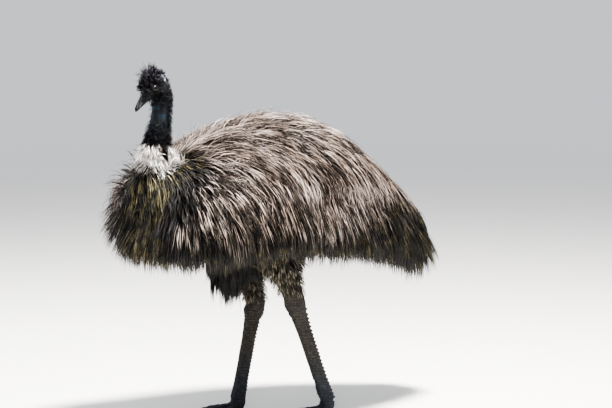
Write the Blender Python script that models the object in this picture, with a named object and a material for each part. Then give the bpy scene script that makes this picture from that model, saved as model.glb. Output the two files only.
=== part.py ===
"""A life-size emu, standing still as a museum shows it.

The bird faces -Y, its left side is towards +X and the floor is z = 0. It stands in a short
stride: the right foot is under the breast and the left foot trails. The neck rises in a low
S from the front of the body, and the bill points down and a little to the bird's left.
Shapes are lofts between named sections; the shaggy plumage is a coat of flat, tapered locks
that are rooted in the body, lie along it towards the tail and hang free at the hem.
"""

import math
import random

import bmesh
import bpy
from mathutils import Matrix, Vector
from mathutils.bvhtree import BVHTree

# Driving dimensions, in metres.
GAP = 0.0003
BACK_HEIGHT = 0.955
HOCK_HEIGHT = {"left": 0.390, "right": 0.352}
STANCE_HALF_WIDTH = 0.100
FOOT_Y = {"left": 0.156, "right": -0.062}
HOCK_Y = {"left": 0.024, "right": 0.004}
BREAST_END_Y = -0.285
RUMP_START_Y = 0.335

# The body under the plumage: y, half width, lowest, widest and highest z of each section.
BODY_SECTIONS = (
    (-0.488, 0.052, 0.625, 0.690, 0.745),
    (-0.476, 0.115, 0.590, 0.685, 0.785),
    (-0.445, 0.186, 0.562, 0.680, 0.820),
    (-0.390, 0.214, 0.550, 0.678, 0.850),
    (-0.290, 0.229, 0.545, 0.685, 0.886),
    (-0.180, 0.236, 0.540, 0.695, 0.926),
    (-0.050, 0.242, 0.535, 0.700, BACK_HEIGHT),
    (0.070, 0.240, 0.530, 0.700, BACK_HEIGHT - 0.004),
    (0.190, 0.226, 0.525, 0.690, 0.912),
    (0.310, 0.196, 0.520, 0.668, 0.838),
    (0.420, 0.150, 0.514, 0.635, 0.752),
    (0.500, 0.110, 0.500, 0.595, 0.684),
    (0.560, 0.070, 0.492, 0.556, 0.624),
    (0.594, 0.030, 0.500, 0.532, 0.572),
)
BODY_STEP = 0.045
BODY_SIDES = 26
BODY_SQUARENESS = 2.25

# The neck's centre line with its radii across and fore-and-aft.
NECK_PATH = (
    (0.000, -0.330, 0.700, 0.120, 0.120),
    (0.000, -0.400, 0.752, 0.098, 0.094),
    (0.000, -0.432, 0.812, 0.068, 0.066),
    (0.000, -0.430, 0.864, 0.047, 0.047),
    (0.001, -0.427, 0.915, 0.036, 0.037),
    (0.003, -0.421, 0.965, 0.031, 0.033),
    (0.004, -0.414, 1.012, 0.028, 0.031),
    (0.005, -0.412, 1.052, 0.025, 0.029),
    (0.005, -0.419, 1.088, 0.022, 0.026),
)
NECK_STEP = 0.025
NECK_SIDES = 16
RUFF_TOP_Z = 0.893

# The head's own frame has its origin midway between the eyes and the bill towards -Y.
EYE_CENTRE_HEIGHT = 1.078
HEAD_AT = (0.010, -0.456, EYE_CENTRE_HEIGHT)
HEAD_YAW = math.radians(11)
HEAD_PITCH = math.radians(41)
EYE_RADIUS = 0.0125
EYE_SPREAD = 0.0205
EYE_UP = 0.003
LID_RADIUS = 0.0022
LID_RING = 0.0100
LID_OUT = 0.62 * EYE_RADIUS
LID_FORWARD = 0.0006
LID_TILT = (-0.10, 0.08)
EAR_AT = (0.0300, 0.030, -0.008)
EAR_RADIUS = 0.0055
HEAD_STEP = 0.010
HEAD_SIDES = 18
HEAD_SECTIONS = (
    (0.0660, 0.0080, -0.0160, -0.0050, 0.0060),
    (0.0610, 0.0170, -0.0270, -0.0050, 0.0160),
    (0.0480, 0.0245, -0.0330, -0.0050, 0.0245),
    (0.0280, 0.0285, -0.0335, -0.0040, 0.0295),
    (0.0060, 0.0290, -0.0310, -0.0030, 0.0300),
    (-0.0120, 0.0270, -0.0275, -0.0030, 0.0255),
    (-0.0250, 0.0220, -0.0240, -0.0050, 0.0180),
    (-0.0340, 0.0185, -0.0215, -0.0060, 0.0125),
)
BILL_BASE_Y = HEAD_SECTIONS[-1][0]
BILL_LENGTH = 0.057
# Share of the bill's length: half width, keel, mouth line and ridge.
BILL_SECTIONS = (
    (0.00, 0.0170, -0.0200, -0.0060, 0.0112),
    (0.25, 0.0150, -0.0186, -0.0066, 0.0076),
    (0.50, 0.0125, -0.0172, -0.0078, 0.0046),
    (0.75, 0.0092, -0.0164, -0.0096, 0.0012),
    (0.90, 0.0062, -0.0158, -0.0112, -0.0026),
    (1.00, 0.0030, -0.0156, -0.0128, -0.0080),
)
LOWER_BILL_SHARE = 0.93
BILL_SIDES = 12
BILL_STEP = 0.14
MOUTH_FLAT = 0.0018
# A nostril: how far out, its share of the bill's length, its height and its half sizes.
NOSTRIL_AT = (0.0128, 0.45, -0.0005)
NOSTRIL_SIZE = (0.0035, 0.0062, 0.0020)

# Legs: share of the way down from hip to hock with the radii across and fore-and-aft.
THIGH_TOP_Z = 0.640
THIGH_PROFILE = (
    (0.00, 0.078, 0.105),
    (0.30, 0.068, 0.088),
    (0.55, 0.052, 0.064),
    (0.75, 0.038, 0.046),
    (0.90, 0.031, 0.038),
    (1.00, 0.030, 0.037),
)
SHANK_PROFILE = (
    (0.00, 0.029, 0.036),
    (0.06, 0.028, 0.035),
    (0.16, 0.022, 0.028),
    (0.32, 0.0175, 0.0225),
    (0.55, 0.0165, 0.0215),
    (0.78, 0.0175, 0.0215),
    (0.92, 0.0210, 0.0235),
    (1.00, 0.0230, 0.0250),
)
HIP_Y = -0.065
HIP_SHARE = 0.95
ANKLE_SHARE = 1.02
THIGH_SIDES = 16
THIGH_STEP = 0.036
SHANK_SIDES = 12
SHANK_STEP = 0.030
HEEL_STEP = 0.014
ANKLE_HEIGHT = 0.040
HEEL_LOW = 0.006
HEEL_LEAN = 0.006
HEEL_PROFILE = ((0.0, *SHANK_PROFILE[-1][1:]), (0.5, 0.024, 0.027), (1.0, 0.018, 0.022))
TOES = {"inner": (30, 0.098, 0.0155), "middle": (0, 0.140, 0.0185), "outer": (-30, 0.104, 0.0155)}
TOE_SIDES = 8
# Share of a toe's length with its half width and height as shares of its radius. The ring's
# height runs from below the floor, where it is cut flat, to just over the radius.
TOE_SECTIONS = (
    (-0.10, 0.70, 1.55),
    (0.05, 1.00, 1.70),
    (0.22, 1.00, 1.45),
    (0.30, 0.90, 1.25),
    (0.42, 1.02, 1.30),
    (0.54, 0.86, 1.08),
    (0.66, 0.94, 1.12),
    (0.78, 0.78, 0.94),
    (0.90, 0.80, 0.90),
    (1.00, 0.52, 0.66),
)
TOE_MIDDLE = 0.50
TOE_RISE = 0.56
CLAW_LENGTH = 0.026
CLAW_SIDES = 8
# Share of a claw's length with its half width, low and high edge as shares of the toe's radius.
CLAW_SECTIONS = (
    (0.0, 0.50, 0.06, 0.62),
    (0.35, 0.44, 0.05, 0.60),
    (0.70, 0.30, 0.04, 0.44),
    (1.0, 0.10, 0.03, 0.16),
)

# The left wing's line down the flank with its radii fore-and-aft and outwards.
WING_PATH = (
    (0.198, -0.330, 0.775, 0.012, 0.018),
    (0.220, -0.300, 0.762, 0.017, 0.030),
    (0.236, -0.262, 0.732, 0.017, 0.035),
    (0.241, -0.228, 0.694, 0.015, 0.032),
    (0.241, -0.198, 0.655, 0.012, 0.024),
    (0.239, -0.180, 0.630, 0.007, 0.012),
)

WING_SIDES = 12
WING_STEP = 0.03
WING_LOCK_RISE = 0.020
GIRTH_SAMPLES = 60

# Locks on the neck's ruff: height, count round it, length and width.
RUFF_ROWS = ((0.795, 7, 0.120, 0.060), (0.838, 7, 0.110, 0.052), (0.874, 6, 0.095, 0.044))
# Locks on a thigh, by share of the way down from the hip, and on a wing by share of its line.
THIGH_ROWS = ((0.50, 6, 0.120, 0.056), (0.68, 6, 0.095, 0.044))
WING_LOCKS = ((0.16, 0.15, 0.052), (0.36, 0.16, 0.056), (0.56, 0.15, 0.052), (0.76, 0.13, 0.044))
RUFF_SEED = 3
# The tuft of long feathers that hangs under the belly in front of the legs.
BELLY_TUFT = {"y": (-0.235, -0.165), "x": (-0.09, -0.03, 0.03, 0.09), "length": 0.17, "width": 0.055}
# Short locks of the crown: place along the head, angle from its top, length and width.
CROWN_ROWS = (
    (-0.018, (-46, 0, 46), 0.026, 0.015),
    (0.004, (-66, -24, 24, 66), 0.030, 0.016),
    (0.028, (-50, 0, 50), 0.034, 0.017),
    (0.048, (-30, 30), 0.034, 0.017),
)
CROWN_THICKNESS = 0.003
CROWN_ROOT = 0.004
# Scutes: broad plates down the front of each shank and a saw edge down its rear. A row is its
# count, the way it faces, its half width and how much steeper its plates stand.
SCUTE_ROWS = ((6, -1, 0.0105, 0.10), (9, 1, 0.0055, 0.32))
SCUTE_START = 0.14
SCUTE_SPAN = 0.72
SCUTE_FILL = 0.40
SCUTE_RISE = 0.0035
SCUTE_TOP_EDGE = 0.35
SCUTE_SLOPE = 0.42
SCUTE_SUNK = 0.004
SCUTE_PINCH = 0.72

# Colours.
PLUMAGE = (0.17, 0.14, 0.12)
COLLAR = (0.42, 0.40, 0.36)
NECK_SKIN = (0.045, 0.06, 0.085)
HEAD_SKIN = (0.03, 0.03, 0.034)
BILL_HORN = (0.035, 0.032, 0.032)
EYE = (0.16, 0.055, 0.02)
LEG_FEATHERS = (0.10, 0.085, 0.06)
SCALES = (0.075, 0.07, 0.065)
CLAW_HORN = (0.05, 0.045, 0.04)

# A lock of plumage: rings along it, depth of its root, and how its width and its ridge change
# from root to tip. It stops following the skin where the skin faces down or to the rear.
LOCK_RINGS = 4
ROOT_DEPTH = 0.012
ROOT_WIDTH = 0.62
BELLY_WIDTH = 1.5
TIP_POWER = 0.62
RIDGE_FALL = 0.62
HEM_FACING = -0.25
TAIL_FACING = 0.55
LIE = 0.65
LIFTS = (0.0, 0.03, 0.07, 0.12, 0.18)
# How low the coat hangs at each y, the shortest lock there, and a hanging lock's drop per length.
HEM_ROWS = (
    (-0.500, 0.520),
    (-0.400, 0.500),
    (-0.300, 0.485),
    (-0.180, 0.510),
    (-0.050, 0.530),
    (0.100, 0.535),
    (0.250, 0.520),
    (0.380, 0.480),
    (0.520, 0.435),
    (0.620, 0.415),
)
SHORTEST_LOCK = 0.085
LOCK_DROP = 0.92
# Chance in a root's place along the body, in the way of a lock, in its length and its width.
ROOT_JITTER = 0.012
WAY_JITTER = 0.12
LENGTH_SPREAD = (0.85, 1.12)
WIDTH_SPREAD = (0.85, 1.1)
# Rows of locks by y station, with the girth angles they cover, the spacing, length and width.
TAIL_ROWS = (
    (0.372, 84, -40, 0.094, 0.19, 0.076),
    (0.440, 84, -50, 0.088, 0.19, 0.072),
    (0.500, 84, -55, 0.078, 0.17, 0.066),
    (0.556, 80, -60, 0.066, 0.13, 0.056),
)
TORSO_ROWS = (
    (-0.235, 86, -36, 0.096, 0.19, 0.080),
    (-0.135, 84, -36, 0.096, 0.20, 0.082),
    (-0.030, 86, -36, 0.096, 0.20, 0.082),
    (0.075, 84, -36, 0.096, 0.20, 0.082),
    (0.175, 86, -36, 0.094, 0.20, 0.082),
    (0.262, 84, -36, 0.090, 0.19, 0.080),
)
BREAST_ROWS = (
    (-0.470, 40, -52, 0.072, 0.12, 0.062),
    (-0.435, 62, -48, 0.084, 0.15, 0.070),
    (-0.360, 70, -44, 0.090, 0.17, 0.078),
)


def smooth_row(table, position):
    """Reads a table of rows (position, values...) on a smooth curve through its rows."""
    rows = sorted(table)
    position = min(max(position, rows[0][0]), rows[-1][0])
    last = len(rows) - 1
    i = max(k for k in range(last) if rows[k][0] <= position)
    span = rows[i + 1][0] - rows[i][0]
    t = (position - rows[i][0]) / span
    values = []
    for column in range(1, len(rows[0])):

        def slope(k, column=column):
            low, high = max(k - 1, 0), min(k + 1, last)
            return (rows[high][column] - rows[low][column]) / (rows[high][0] - rows[low][0])

        start, end = rows[i][column], rows[i + 1][column]
        a, b = slope(i) * span, slope(i + 1) * span
        values.append(
            start * (2 * t**3 - 3 * t**2 + 1)
            + a * (t**3 - 2 * t**2 + t)
            + end * (3 * t**2 - 2 * t**3)
            + b * (t**3 - t**2)
        )
    return values


def spaced(start, end, step):
    """Evenly spaced values from start to end, about step apart."""
    count = max(1, round(abs(end - start) / step))
    return [start + (end - start) * k / count for k in range(count + 1)]


def rounded(value, power):
    return math.copysign(abs(value) ** power, value)


def oval(sides, half_width, low, middle, high, squareness=2.0):
    """A closed outline in x and z, wider at its middle height."""
    outline = []
    for k in range(sides):
        angle = 2 * math.pi * k / sides
        x = half_width * rounded(math.cos(angle), 2 / squareness)
        rise = rounded(math.sin(angle), 2 / squareness)
        z = middle + rise * ((high - middle) if rise > 0 else (middle - low))
        outline.append((x, z))
    return outline


def mesh_object(name, collection, bm):
    mesh = bpy.data.meshes.new(name)
    bmesh.ops.recalc_face_normals(bm, faces=bm.faces)
    bm.to_mesh(mesh)
    bm.free()
    made = bpy.data.objects.new(name, mesh)
    collection.objects.link(made)
    return made


def loft(name, collection, rings):
    """A closed skin through rings of equal count, with a flat cap at each end."""
    bm = bmesh.new()
    built = [[bm.verts.new(point) for point in ring] for ring in rings]
    sides = len(rings[0])
    for near, far in zip(built, built[1:]):
        for k in range(sides):
            n = (k + 1) % sides
            bm.faces.new((near[k], near[n], far[n], far[k]))
    for ring in (built[0], built[-1]):
        bm.faces.new(ring)
    bmesh.ops.triangulate(bm, faces=bm.faces)
    return mesh_object(name, collection, bm)


def sweep_rings(path, sides, step, grow=0.0):
    """Rings round a line given as rows (x, y, z, radius across, radius fore and aft)."""
    stations, length = [(0.0, *path[0])], 0.0
    for a, b in zip(path, path[1:]):
        length += (Vector(b[:3]) - Vector(a[:3])).length
        stations.append((length, *b))
    marks = spaced(0.0, length, step)
    rows = [smooth_row(stations, mark) for mark in marks]
    count = len(rows) - 1
    rings = []
    for k, row in enumerate(rows):
        before, after = rows[max(k - 1, 0)], rows[min(k + 1, count)]
        along = (Vector(after[:3]) - Vector(before[:3])).normalized()
        across = (Vector((1, 0, 0)) - along * along.x).normalized()
        deep = along.cross(across)
        centre = Vector(row[:3])
        ring = []
        for side in range(sides):
            angle = 2 * math.pi * side / sides
            ring.append(
                centre
                + across * (math.cos(angle) * (row[3] + grow))
                + deep * (math.sin(angle) * (row[4] + grow))
            )
        rings.append(ring)
    return rings


def evaluated(made):
    graph = bpy.context.evaluated_depsgraph_get()
    return bpy.data.meshes.new_from_object(made.evaluated_get(graph))


def boolean(made, operation, others, solver="EXACT"):
    """Cuts or joins the other objects with one modifier, applies it and removes them."""
    helpers = bpy.data.collections.new("boolean_helpers")
    bpy.context.scene.collection.children.link(helpers)
    for other in others:
        helpers.objects.link(other)
    modifier = made.modifiers.new(operation.lower(), "BOOLEAN")
    modifier.operation = operation
    modifier.solver = solver
    modifier.operand_type = "COLLECTION"
    modifier.collection = helpers
    result = evaluated(made)
    made.modifiers.remove(modifier)
    made.data = result
    for other in others:
        bpy.data.objects.remove(other)
    bpy.data.collections.remove(helpers)
    return made


def keep_largest(made):
    """Leaves only the closed surface that holds the most."""
    bm = bmesh.new()
    bm.from_mesh(made.data)
    bm.faces.ensure_lookup_table()
    unseen, shells = set(bm.faces), []
    while unseen:
        shell, edge = set(), [unseen.pop()]
        while edge:
            face = edge.pop()
            shell.add(face)
            for side in face.edges:
                for neighbour in side.link_faces:
                    if neighbour in unseen:
                        unseen.discard(neighbour)
                        edge.append(neighbour)
        shells.append(shell)

    def held(shell):
        total = 0.0
        for face in shell:
            first = face.verts[0].co
            for a, b in zip(face.verts[1:], face.verts[2:]):
                total += first.dot(a.co.cross(b.co))
        return abs(total)

    kept = max(shells, key=held)
    bmesh.ops.delete(bm, geom=[f for f in bm.faces if f not in kept], context="FACES")
    bm.to_mesh(made.data)
    bm.free()
    return made


def tree_of(objects):
    """A search tree over the faces of several objects."""
    points, faces = [], []
    for made in objects:
        start = len(points)
        points += [made.matrix_world @ v.co for v in made.data.vertices]
        faces += [[start + k for k in p.vertices] for p in made.data.polygons]
    return BVHTree.FromPolygons(points, faces)


def paint(made, colour, roughness):
    material = bpy.data.materials.new(made.name)
    material.use_nodes = True
    shader = material.node_tree.nodes["Principled BSDF"]
    shader.inputs["Base Color"].default_value = (*colour, 1)
    shader.inputs["Roughness"].default_value = roughness
    shader.inputs["Metallic"].default_value = 0.0
    made.data.materials.clear()
    made.data.materials.append(material)
    made.data.shade_smooth()
    made.data.set_sharp_from_angle(angle=math.radians(50))


def body_ring(y, grow=0.0):
    half_width, low, middle, high = smooth_row(BODY_SECTIONS, y)
    outline = oval(BODY_SIDES, half_width + grow, low - grow, middle, high + grow, BODY_SQUARENESS)
    return [Vector((x, y, z)) for x, z in outline]


def body_length(name, collection, start, end, grow=0.0):
    """A length of the body between two y stations."""
    rings = [body_ring(y, grow) for y in spaced(start, end, BODY_STEP)]
    return loft(name, collection, rings)


def nose_to_tail(collection, grow):
    """The whole body in one piece, a little larger, as a cutter with the nodes' own stations."""
    first, last = BODY_SECTIONS[0][0], BODY_SECTIONS[-1][0]
    stations = spaced(first, BREAST_END_Y, BODY_STEP)
    stations += spaced(BREAST_END_Y, RUMP_START_Y, BODY_STEP)[1:]
    stations += spaced(RUMP_START_Y, last, BODY_STEP)[1:]
    rings = [body_ring(y, grow) for y in stations]
    rings = [[p + Vector((0, -grow, 0)) for p in rings[0]]] + rings
    rings.append([p + Vector((0, grow, 0)) for p in rings[-1]])
    return loft("body_cutter", collection, rings)


def cutter_from_body(collection):
    cutter = nose_to_tail(collection, 2 * GAP)
    collection.objects.unlink(cutter)
    return cutter


def lock_path(root, normal, way, length, skin, lift, hang, slope, depth):
    """Points and outward normals of one lock, from its sunk root to its tip.

    The lock follows `way` along the skin, keeps a height that grows with the distance from its
    root, and turns down under its own weight by the share `hang` at each step.
    """
    step = length / LOCK_RINGS
    way = (way - normal * way.dot(normal)).normalized()
    point, points, normals = root - normal * depth, [], []
    for k in range(LOCK_RINGS + 1):
        points.append(point.copy())
        normals.append(normal.copy())
        way = (way.lerp(Vector((0, 0, -1)), hang)).normalized()
        nearer = point + way * step
        height = depth / 4 + (slope + lift) * step * (k + 1)
        if k == 0:
            nearer += normal * (depth + height)
        spot, facing, _, _ = skin.find_nearest(nearer)
        above = (nearer - spot).dot(facing)
        if above < height:
            nearer = spot + facing * height
            normal = normal.lerp(facing, 0.7).normalized()
        elif facing.z > HEM_FACING and facing.y < TAIL_FACING:
            nearer += facing * ((height - above) * LIE)
            normal = normal.lerp(facing, 0.5).normalized()
        way = (nearer - point).normalized()
        point = nearer
    return points, normals


def lock_mesh(points, normals, width, thickness, spread=0.0):
    """Vertices and triangles of a flat blade with a low ridge, tapering to its tip."""
    verts, faces = [], []
    last = len(points) - 1
    for k, (point, normal) in enumerate(zip(points, normals)):
        share = k / last
        along = (points[min(k + 1, last)] - points[max(k - 1, 0)]).normalized()
        across = along.cross(normal).normalized()
        up = across.cross(along).normalized()
        if k == last:
            verts.append(point + along * spread)
            break
        half = width / 2 * (ROOT_WIDTH + BELLY_WIDTH * share) * (1 - share) ** TIP_POWER + spread
        ridge = thickness * (1 - RIDGE_FALL * share)
        verts += [
            point - across * half - up * spread,
            point + across * half - up * spread,
            point + up * (ridge + spread),
        ]
    for k in range(last - 1):
        a, b = 3 * k, 3 * k + 3
        for i, j in ((1, 0), (2, 1), (0, 2)):
            faces += [(a + i, a + j, b + j), (a + i, b + j, b + i)]
    tip, a = 3 * last, 3 * (last - 1)
    faces += [(a + 1, a, tip), (a + 2, a + 1, tip), (a, a + 2, tip), (0, 1, 2)]
    return verts, faces


class Coat:
    """Grows locks on a node and keeps them clear of every other node."""

    def __init__(self, collection, bed, skin, others):
        self.collection = collection
        self.bed = tree_of([bed])
        self.skin = tree_of(skin)
        self.others = tree_of(others)
        self.locks = []

    def grow(self, root, way, length, width, thickness=0.006, hang=0.12, slope=0.10, depth=ROOT_DEPTH):
        """Adds one lock, lifted until it clears the other nodes, or leaves it out."""
        spot, normal, _, _ = self.bed.find_nearest(root)
        for lift in LIFTS:
            points, normals = lock_path(
                spot, normal, way, length, self.skin, lift, hang, slope, depth
            )
            test = BVHTree.FromPolygons(
                *lock_mesh(points, normals, width, thickness, spread=2 * GAP)
            )
            if not test.overlap(self.others):
                break
        else:
            return
        verts, faces = lock_mesh(points, normals, width, thickness)
        bm = bmesh.new()
        made = [bm.verts.new(v) for v in verts]
        for face in faces:
            bm.faces.new([made[i] for i in face])
        self.locks.append(mesh_object("lock", self.collection, bm))

    def fuse(self, made):
        """Joins the locks to the node that carries them."""
        for lock in self.locks:
            self.collection.objects.unlink(lock)
        boolean(made, "UNION", self.locks, "MANIFOLD")
        keep_largest(made)
        return made


def body_flow(point, normal):
    """The lie of the plumage: back along the spine, down the flanks and straight down in front."""
    side = math.copysign(1.0, point.x)
    top = max(0.0, min(1.0, normal.z))
    rear = max(0.0, min(1.0, (point.y + 0.44) / 0.30))
    back = rear * (0.42 + 1.9 * top)
    return Vector((side * 0.30 * top, back, -1.0 + 0.55 * top)).normalized()


def girth_points(y, step, start, end, offset):
    """Points down the left of a body section, a step apart, from one angle to another."""
    half_width, low, middle, high = smooth_row(BODY_SECTIONS, y)
    fine = []
    for k in range(GIRTH_SAMPLES + 1):
        angle = math.radians(start + (end - start) * k / GIRTH_SAMPLES)
        x = half_width * rounded(math.cos(angle), 2 / BODY_SQUARENESS)
        rise = rounded(math.sin(angle), 2 / BODY_SQUARENESS)
        fine.append(Vector((x, y, middle + rise * ((high - middle) if rise > 0 else (middle - low)))))
    lengths = [0.0]
    for a, b in zip(fine, fine[1:]):
        lengths.append(lengths[-1] + (b - a).length)
    points = []
    for mark in spaced(offset * step, lengths[-1], step):
        points.append(fine[min(range(len(fine)), key=lambda i: abs(lengths[i] - mark))])
    return points


def cover_rows(coat, rows, chance):
    """Rows of locks down both flanks, each row shifted by half a step from the one before."""
    for index, (y, start, end, step, length, width) in enumerate(rows):
        for side in (1, -1):
            for point in girth_points(y, step, start, end, 0.5 * (index % 2)):
                root = Vector((side * point.x, point.y, point.z))
                root.y += chance.uniform(-ROOT_JITTER, ROOT_JITTER)
                spot, normal, _, _ = coat.bed.find_nearest(root)
                way = body_flow(spot, normal)
                way += Vector([chance.uniform(-WAY_JITTER, WAY_JITTER) for _ in range(3)])
                room = (spot.z - smooth_row(HEM_ROWS, spot.y)[0]) / LOCK_DROP
                reach = max(SHORTEST_LOCK, min(length, room)) * chance.uniform(*LENGTH_SPREAD)
                coat.grow(spot, way, reach, width * chance.uniform(*WIDTH_SPREAD))


def build_body(emu):
    breast = body_length("breast", emu, BODY_SECTIONS[0][0], BREAST_END_Y - GAP / 2)
    torso = body_length("torso", emu, BREAST_END_Y + GAP / 2, RUMP_START_Y - GAP / 2)
    rump = body_length("tail", emu, RUMP_START_Y + GAP / 2, BODY_SECTIONS[-1][0])
    return breast, torso, rump


def build_neck(emu):
    """The ruffed lower neck and the bare upper neck, parted at the ruff's top."""
    rings = sweep_rings(NECK_PATH, NECK_SIDES, NECK_STEP)
    split = min(range(len(rings)), key=lambda k: abs(sum(p.z for p in rings[k]) / NECK_SIDES - RUFF_TOP_Z))
    centre = sum(rings[split], Vector()) / NECK_SIDES
    above = sum(rings[split + 1], Vector()) / NECK_SIDES
    along = (above - centre).normalized()
    lower = loft("neck_lower", emu, rings[:split] + [[p - along * GAP / 2 for p in rings[split]]])
    upper = loft("neck_upper", emu, [[p + along * GAP / 2 for p in rings[split]]] + rings[split + 1 :])
    boolean(lower, "DIFFERENCE", [cutter_from_body(emu)])
    keep_largest(lower)
    return lower, upper


def head_matrix():
    return (
        Matrix.Translation(HEAD_AT)
        @ Matrix.Rotation(HEAD_YAW, 4, "Z")
        @ Matrix.Rotation(HEAD_PITCH, 4, "X")
    )


def ball(name, collection, centre, radius, segments=14, rings=8):
    bm = bmesh.new()
    bmesh.ops.create_uvsphere(bm, u_segments=segments, v_segments=rings, radius=radius)
    bmesh.ops.translate(bm, vec=centre, verts=bm.verts)
    bmesh.ops.triangulate(bm, faces=bm.faces)
    return mesh_object(name, collection, bm)


def ring_solid(name, collection, centre, axis, ring_radius, tube_radius, around=14, tube=5):
    """A torus about an axis, as a lid's rim."""
    bpy.ops.mesh.primitive_torus_add(
        major_radius=ring_radius,
        minor_radius=tube_radius,
        major_segments=around,
        minor_segments=tube,
    )
    made = bpy.context.object
    made.name = name
    for owner in list(made.users_collection):
        owner.objects.unlink(made)
    collection.objects.link(made)
    turn = Vector((0, 0, 1)).rotation_difference(axis).to_matrix().to_4x4()
    made.data.transform(Matrix.Translation(centre) @ turn)
    return made


def mandible(name, emu, upper):
    """Half a bill: a loft of rounded sections along the bill, flat on the mouth side."""
    rings = []
    reach = 1.0 if upper else LOWER_BILL_SHARE
    for share in spaced(0.0, reach, BILL_STEP):
        half_width, keel, mouth, ridge = smooth_row(BILL_SECTIONS, share)
        y = BILL_BASE_Y - GAP - BILL_LENGTH * share
        if upper:
            outline = oval(BILL_SIDES, half_width, mouth + GAP, mouth + MOUTH_FLAT, ridge, 2.0)
        else:
            closing = (1 - share / reach) ** 0.5
            low = mouth - GAP - (mouth - keel) * (0.35 + 0.65 * closing)
            outline = oval(BILL_SIDES, half_width * 0.94, low, mouth - MOUTH_FLAT, mouth - GAP, 2.2)
        rings.append([Vector((x, y, z)) for x, z in outline])
    return loft(name, emu, rings)


def head_rings(place, grow=0.0):
    """Sections of the skull from its back to the root of the bill."""
    rings = []
    for y in spaced(HEAD_SECTIONS[0][0], HEAD_SECTIONS[-1][0], HEAD_STEP):
        half_width, low, middle, high = smooth_row(HEAD_SECTIONS, y)
        outline = oval(HEAD_SIDES, half_width + grow, low - grow, middle, high + grow, 2.2)
        rings.append([place @ Vector((x, y, z)) for x, z in outline])
    return rings


def build_head(emu, upper_neck):
    place = head_matrix()
    head = loft("head", emu, head_rings(Matrix.Identity(4)))
    upper_bill = mandible("bill_upper", emu, True)
    lower_bill = mandible("bill_lower", emu, False)
    eyes = []
    joined, sockets = [], []
    for side, name in ((1, "left"), (-1, "right")):
        centre = Vector((side * EYE_SPREAD, 0, EYE_UP))
        eyes.append(ball("eye_" + name, emu, centre, EYE_RADIUS))
        sockets.append(ball("socket", emu, centre, EYE_RADIUS + GAP))
        lid_centre = centre + Vector((side * LID_OUT, -LID_FORWARD, 0))
        lid_axis = Vector((side, *LID_TILT))
        joined.append(ring_solid("lid", emu, lid_centre, lid_axis, LID_RING, LID_RADIUS))
        ear = Vector((side * EAR_AT[0], EAR_AT[1], EAR_AT[2]))
        sockets.append(ball("ear", emu, ear, EAR_RADIUS, 8, 6))
    for made in joined + sockets:
        emu.objects.unlink(made)
    boolean(head, "UNION", joined)
    boolean(head, "DIFFERENCE", sockets)
    keep_largest(head)
    nostrils = []
    out, share, height = NOSTRIL_AT
    for side in (1, -1):
        slot = ball("nostril", emu, Vector((0, 0, 0)), 1.0, 8, 5)
        slot.data.transform(
            Matrix.Translation((side * out, BILL_BASE_Y - share * BILL_LENGTH, height))
            @ Matrix.Diagonal((*NOSTRIL_SIZE, 1))
        )
        emu.objects.unlink(slot)
        nostrils.append(slot)
    boolean(upper_bill, "DIFFERENCE", nostrils)
    keep_largest(upper_bill)
    for made in [head, upper_bill, lower_bill, *eyes]:
        made.data.transform(place)
    cutter = loft("head_cutter", emu, head_rings(place, 2 * GAP))
    emu.objects.unlink(cutter)
    boolean(upper_neck, "DIFFERENCE", [cutter])
    keep_largest(upper_neck)
    return head, upper_bill, lower_bill, eyes


def leg_points(side):
    """Hip, hock and ankle of one leg."""
    sign = 1 if side == "left" else -1
    x = sign * STANCE_HALF_WIDTH
    hock = Vector((x, HOCK_Y[side], HOCK_HEIGHT[side]))
    hip = Vector((x * HIP_SHARE, HIP_Y, THIGH_TOP_Z))
    ankle = Vector((x * ANKLE_SHARE, FOOT_Y[side], ANKLE_HEIGHT))
    return hip, hock, ankle


def limb(name, emu, start, end, profile, sides, step):
    """A leg length whose two ends are level, so that it meets the next one face to face."""
    path = []
    for share, across, deep in profile:
        centre = start.lerp(end, share)
        path.append((*centre, across, deep))
    rings = sweep_rings(path, sides, step)
    for ring, level in ((rings[0], start.z - GAP / 2), (rings[-1], end.z + GAP / 2)):
        for point in ring:
            point.z = level
    return loft(name, emu, rings)


def toe(name, emu, ankle, angle, length, radius):
    """One toe: a tapering, padded finger that lies flat on the floor."""
    direction = Vector((math.sin(angle), -math.cos(angle), 0))
    across = Vector((math.cos(angle), math.sin(angle), 0))
    rings = []
    for share, wide, tall in TOE_SECTIONS:
        centre = Vector((ankle.x, ankle.y, 0)) + direction * (length * share)
        ring = []
        for k in range(TOE_SIDES):
            turn = 2 * math.pi * (k + 0.5) / TOE_SIDES
            height = max(0.0, radius * tall * (TOE_MIDDLE + TOE_RISE * math.sin(turn)))
            ring.append(centre + across * (radius * wide * math.cos(turn)) + Vector((0, 0, height)))
        rings.append(ring)
    return loft(name, emu, rings)


def claw(name, emu, ankle, angle, length, radius):
    """A blunt horn claw that carries on from the toe's end."""
    direction = Vector((math.sin(angle), -math.cos(angle), 0))
    across = Vector((math.cos(angle), math.sin(angle), 0))
    rings = []
    for share, wide, low, high in CLAW_SECTIONS:
        centre = Vector((ankle.x, ankle.y, 0)) + direction * (length + GAP + CLAW_LENGTH * share)
        ring = []
        for k in range(CLAW_SIDES):
            turn = 2 * math.pi * k / CLAW_SIDES
            height = radius * (low + (high - low) * (0.5 + 0.5 * math.sin(turn)))
            ring.append(centre + across * (radius * wide * math.cos(turn)) + Vector((0, 0, height)))
        rings.append(ring)
    return loft(name, emu, rings)


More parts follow.
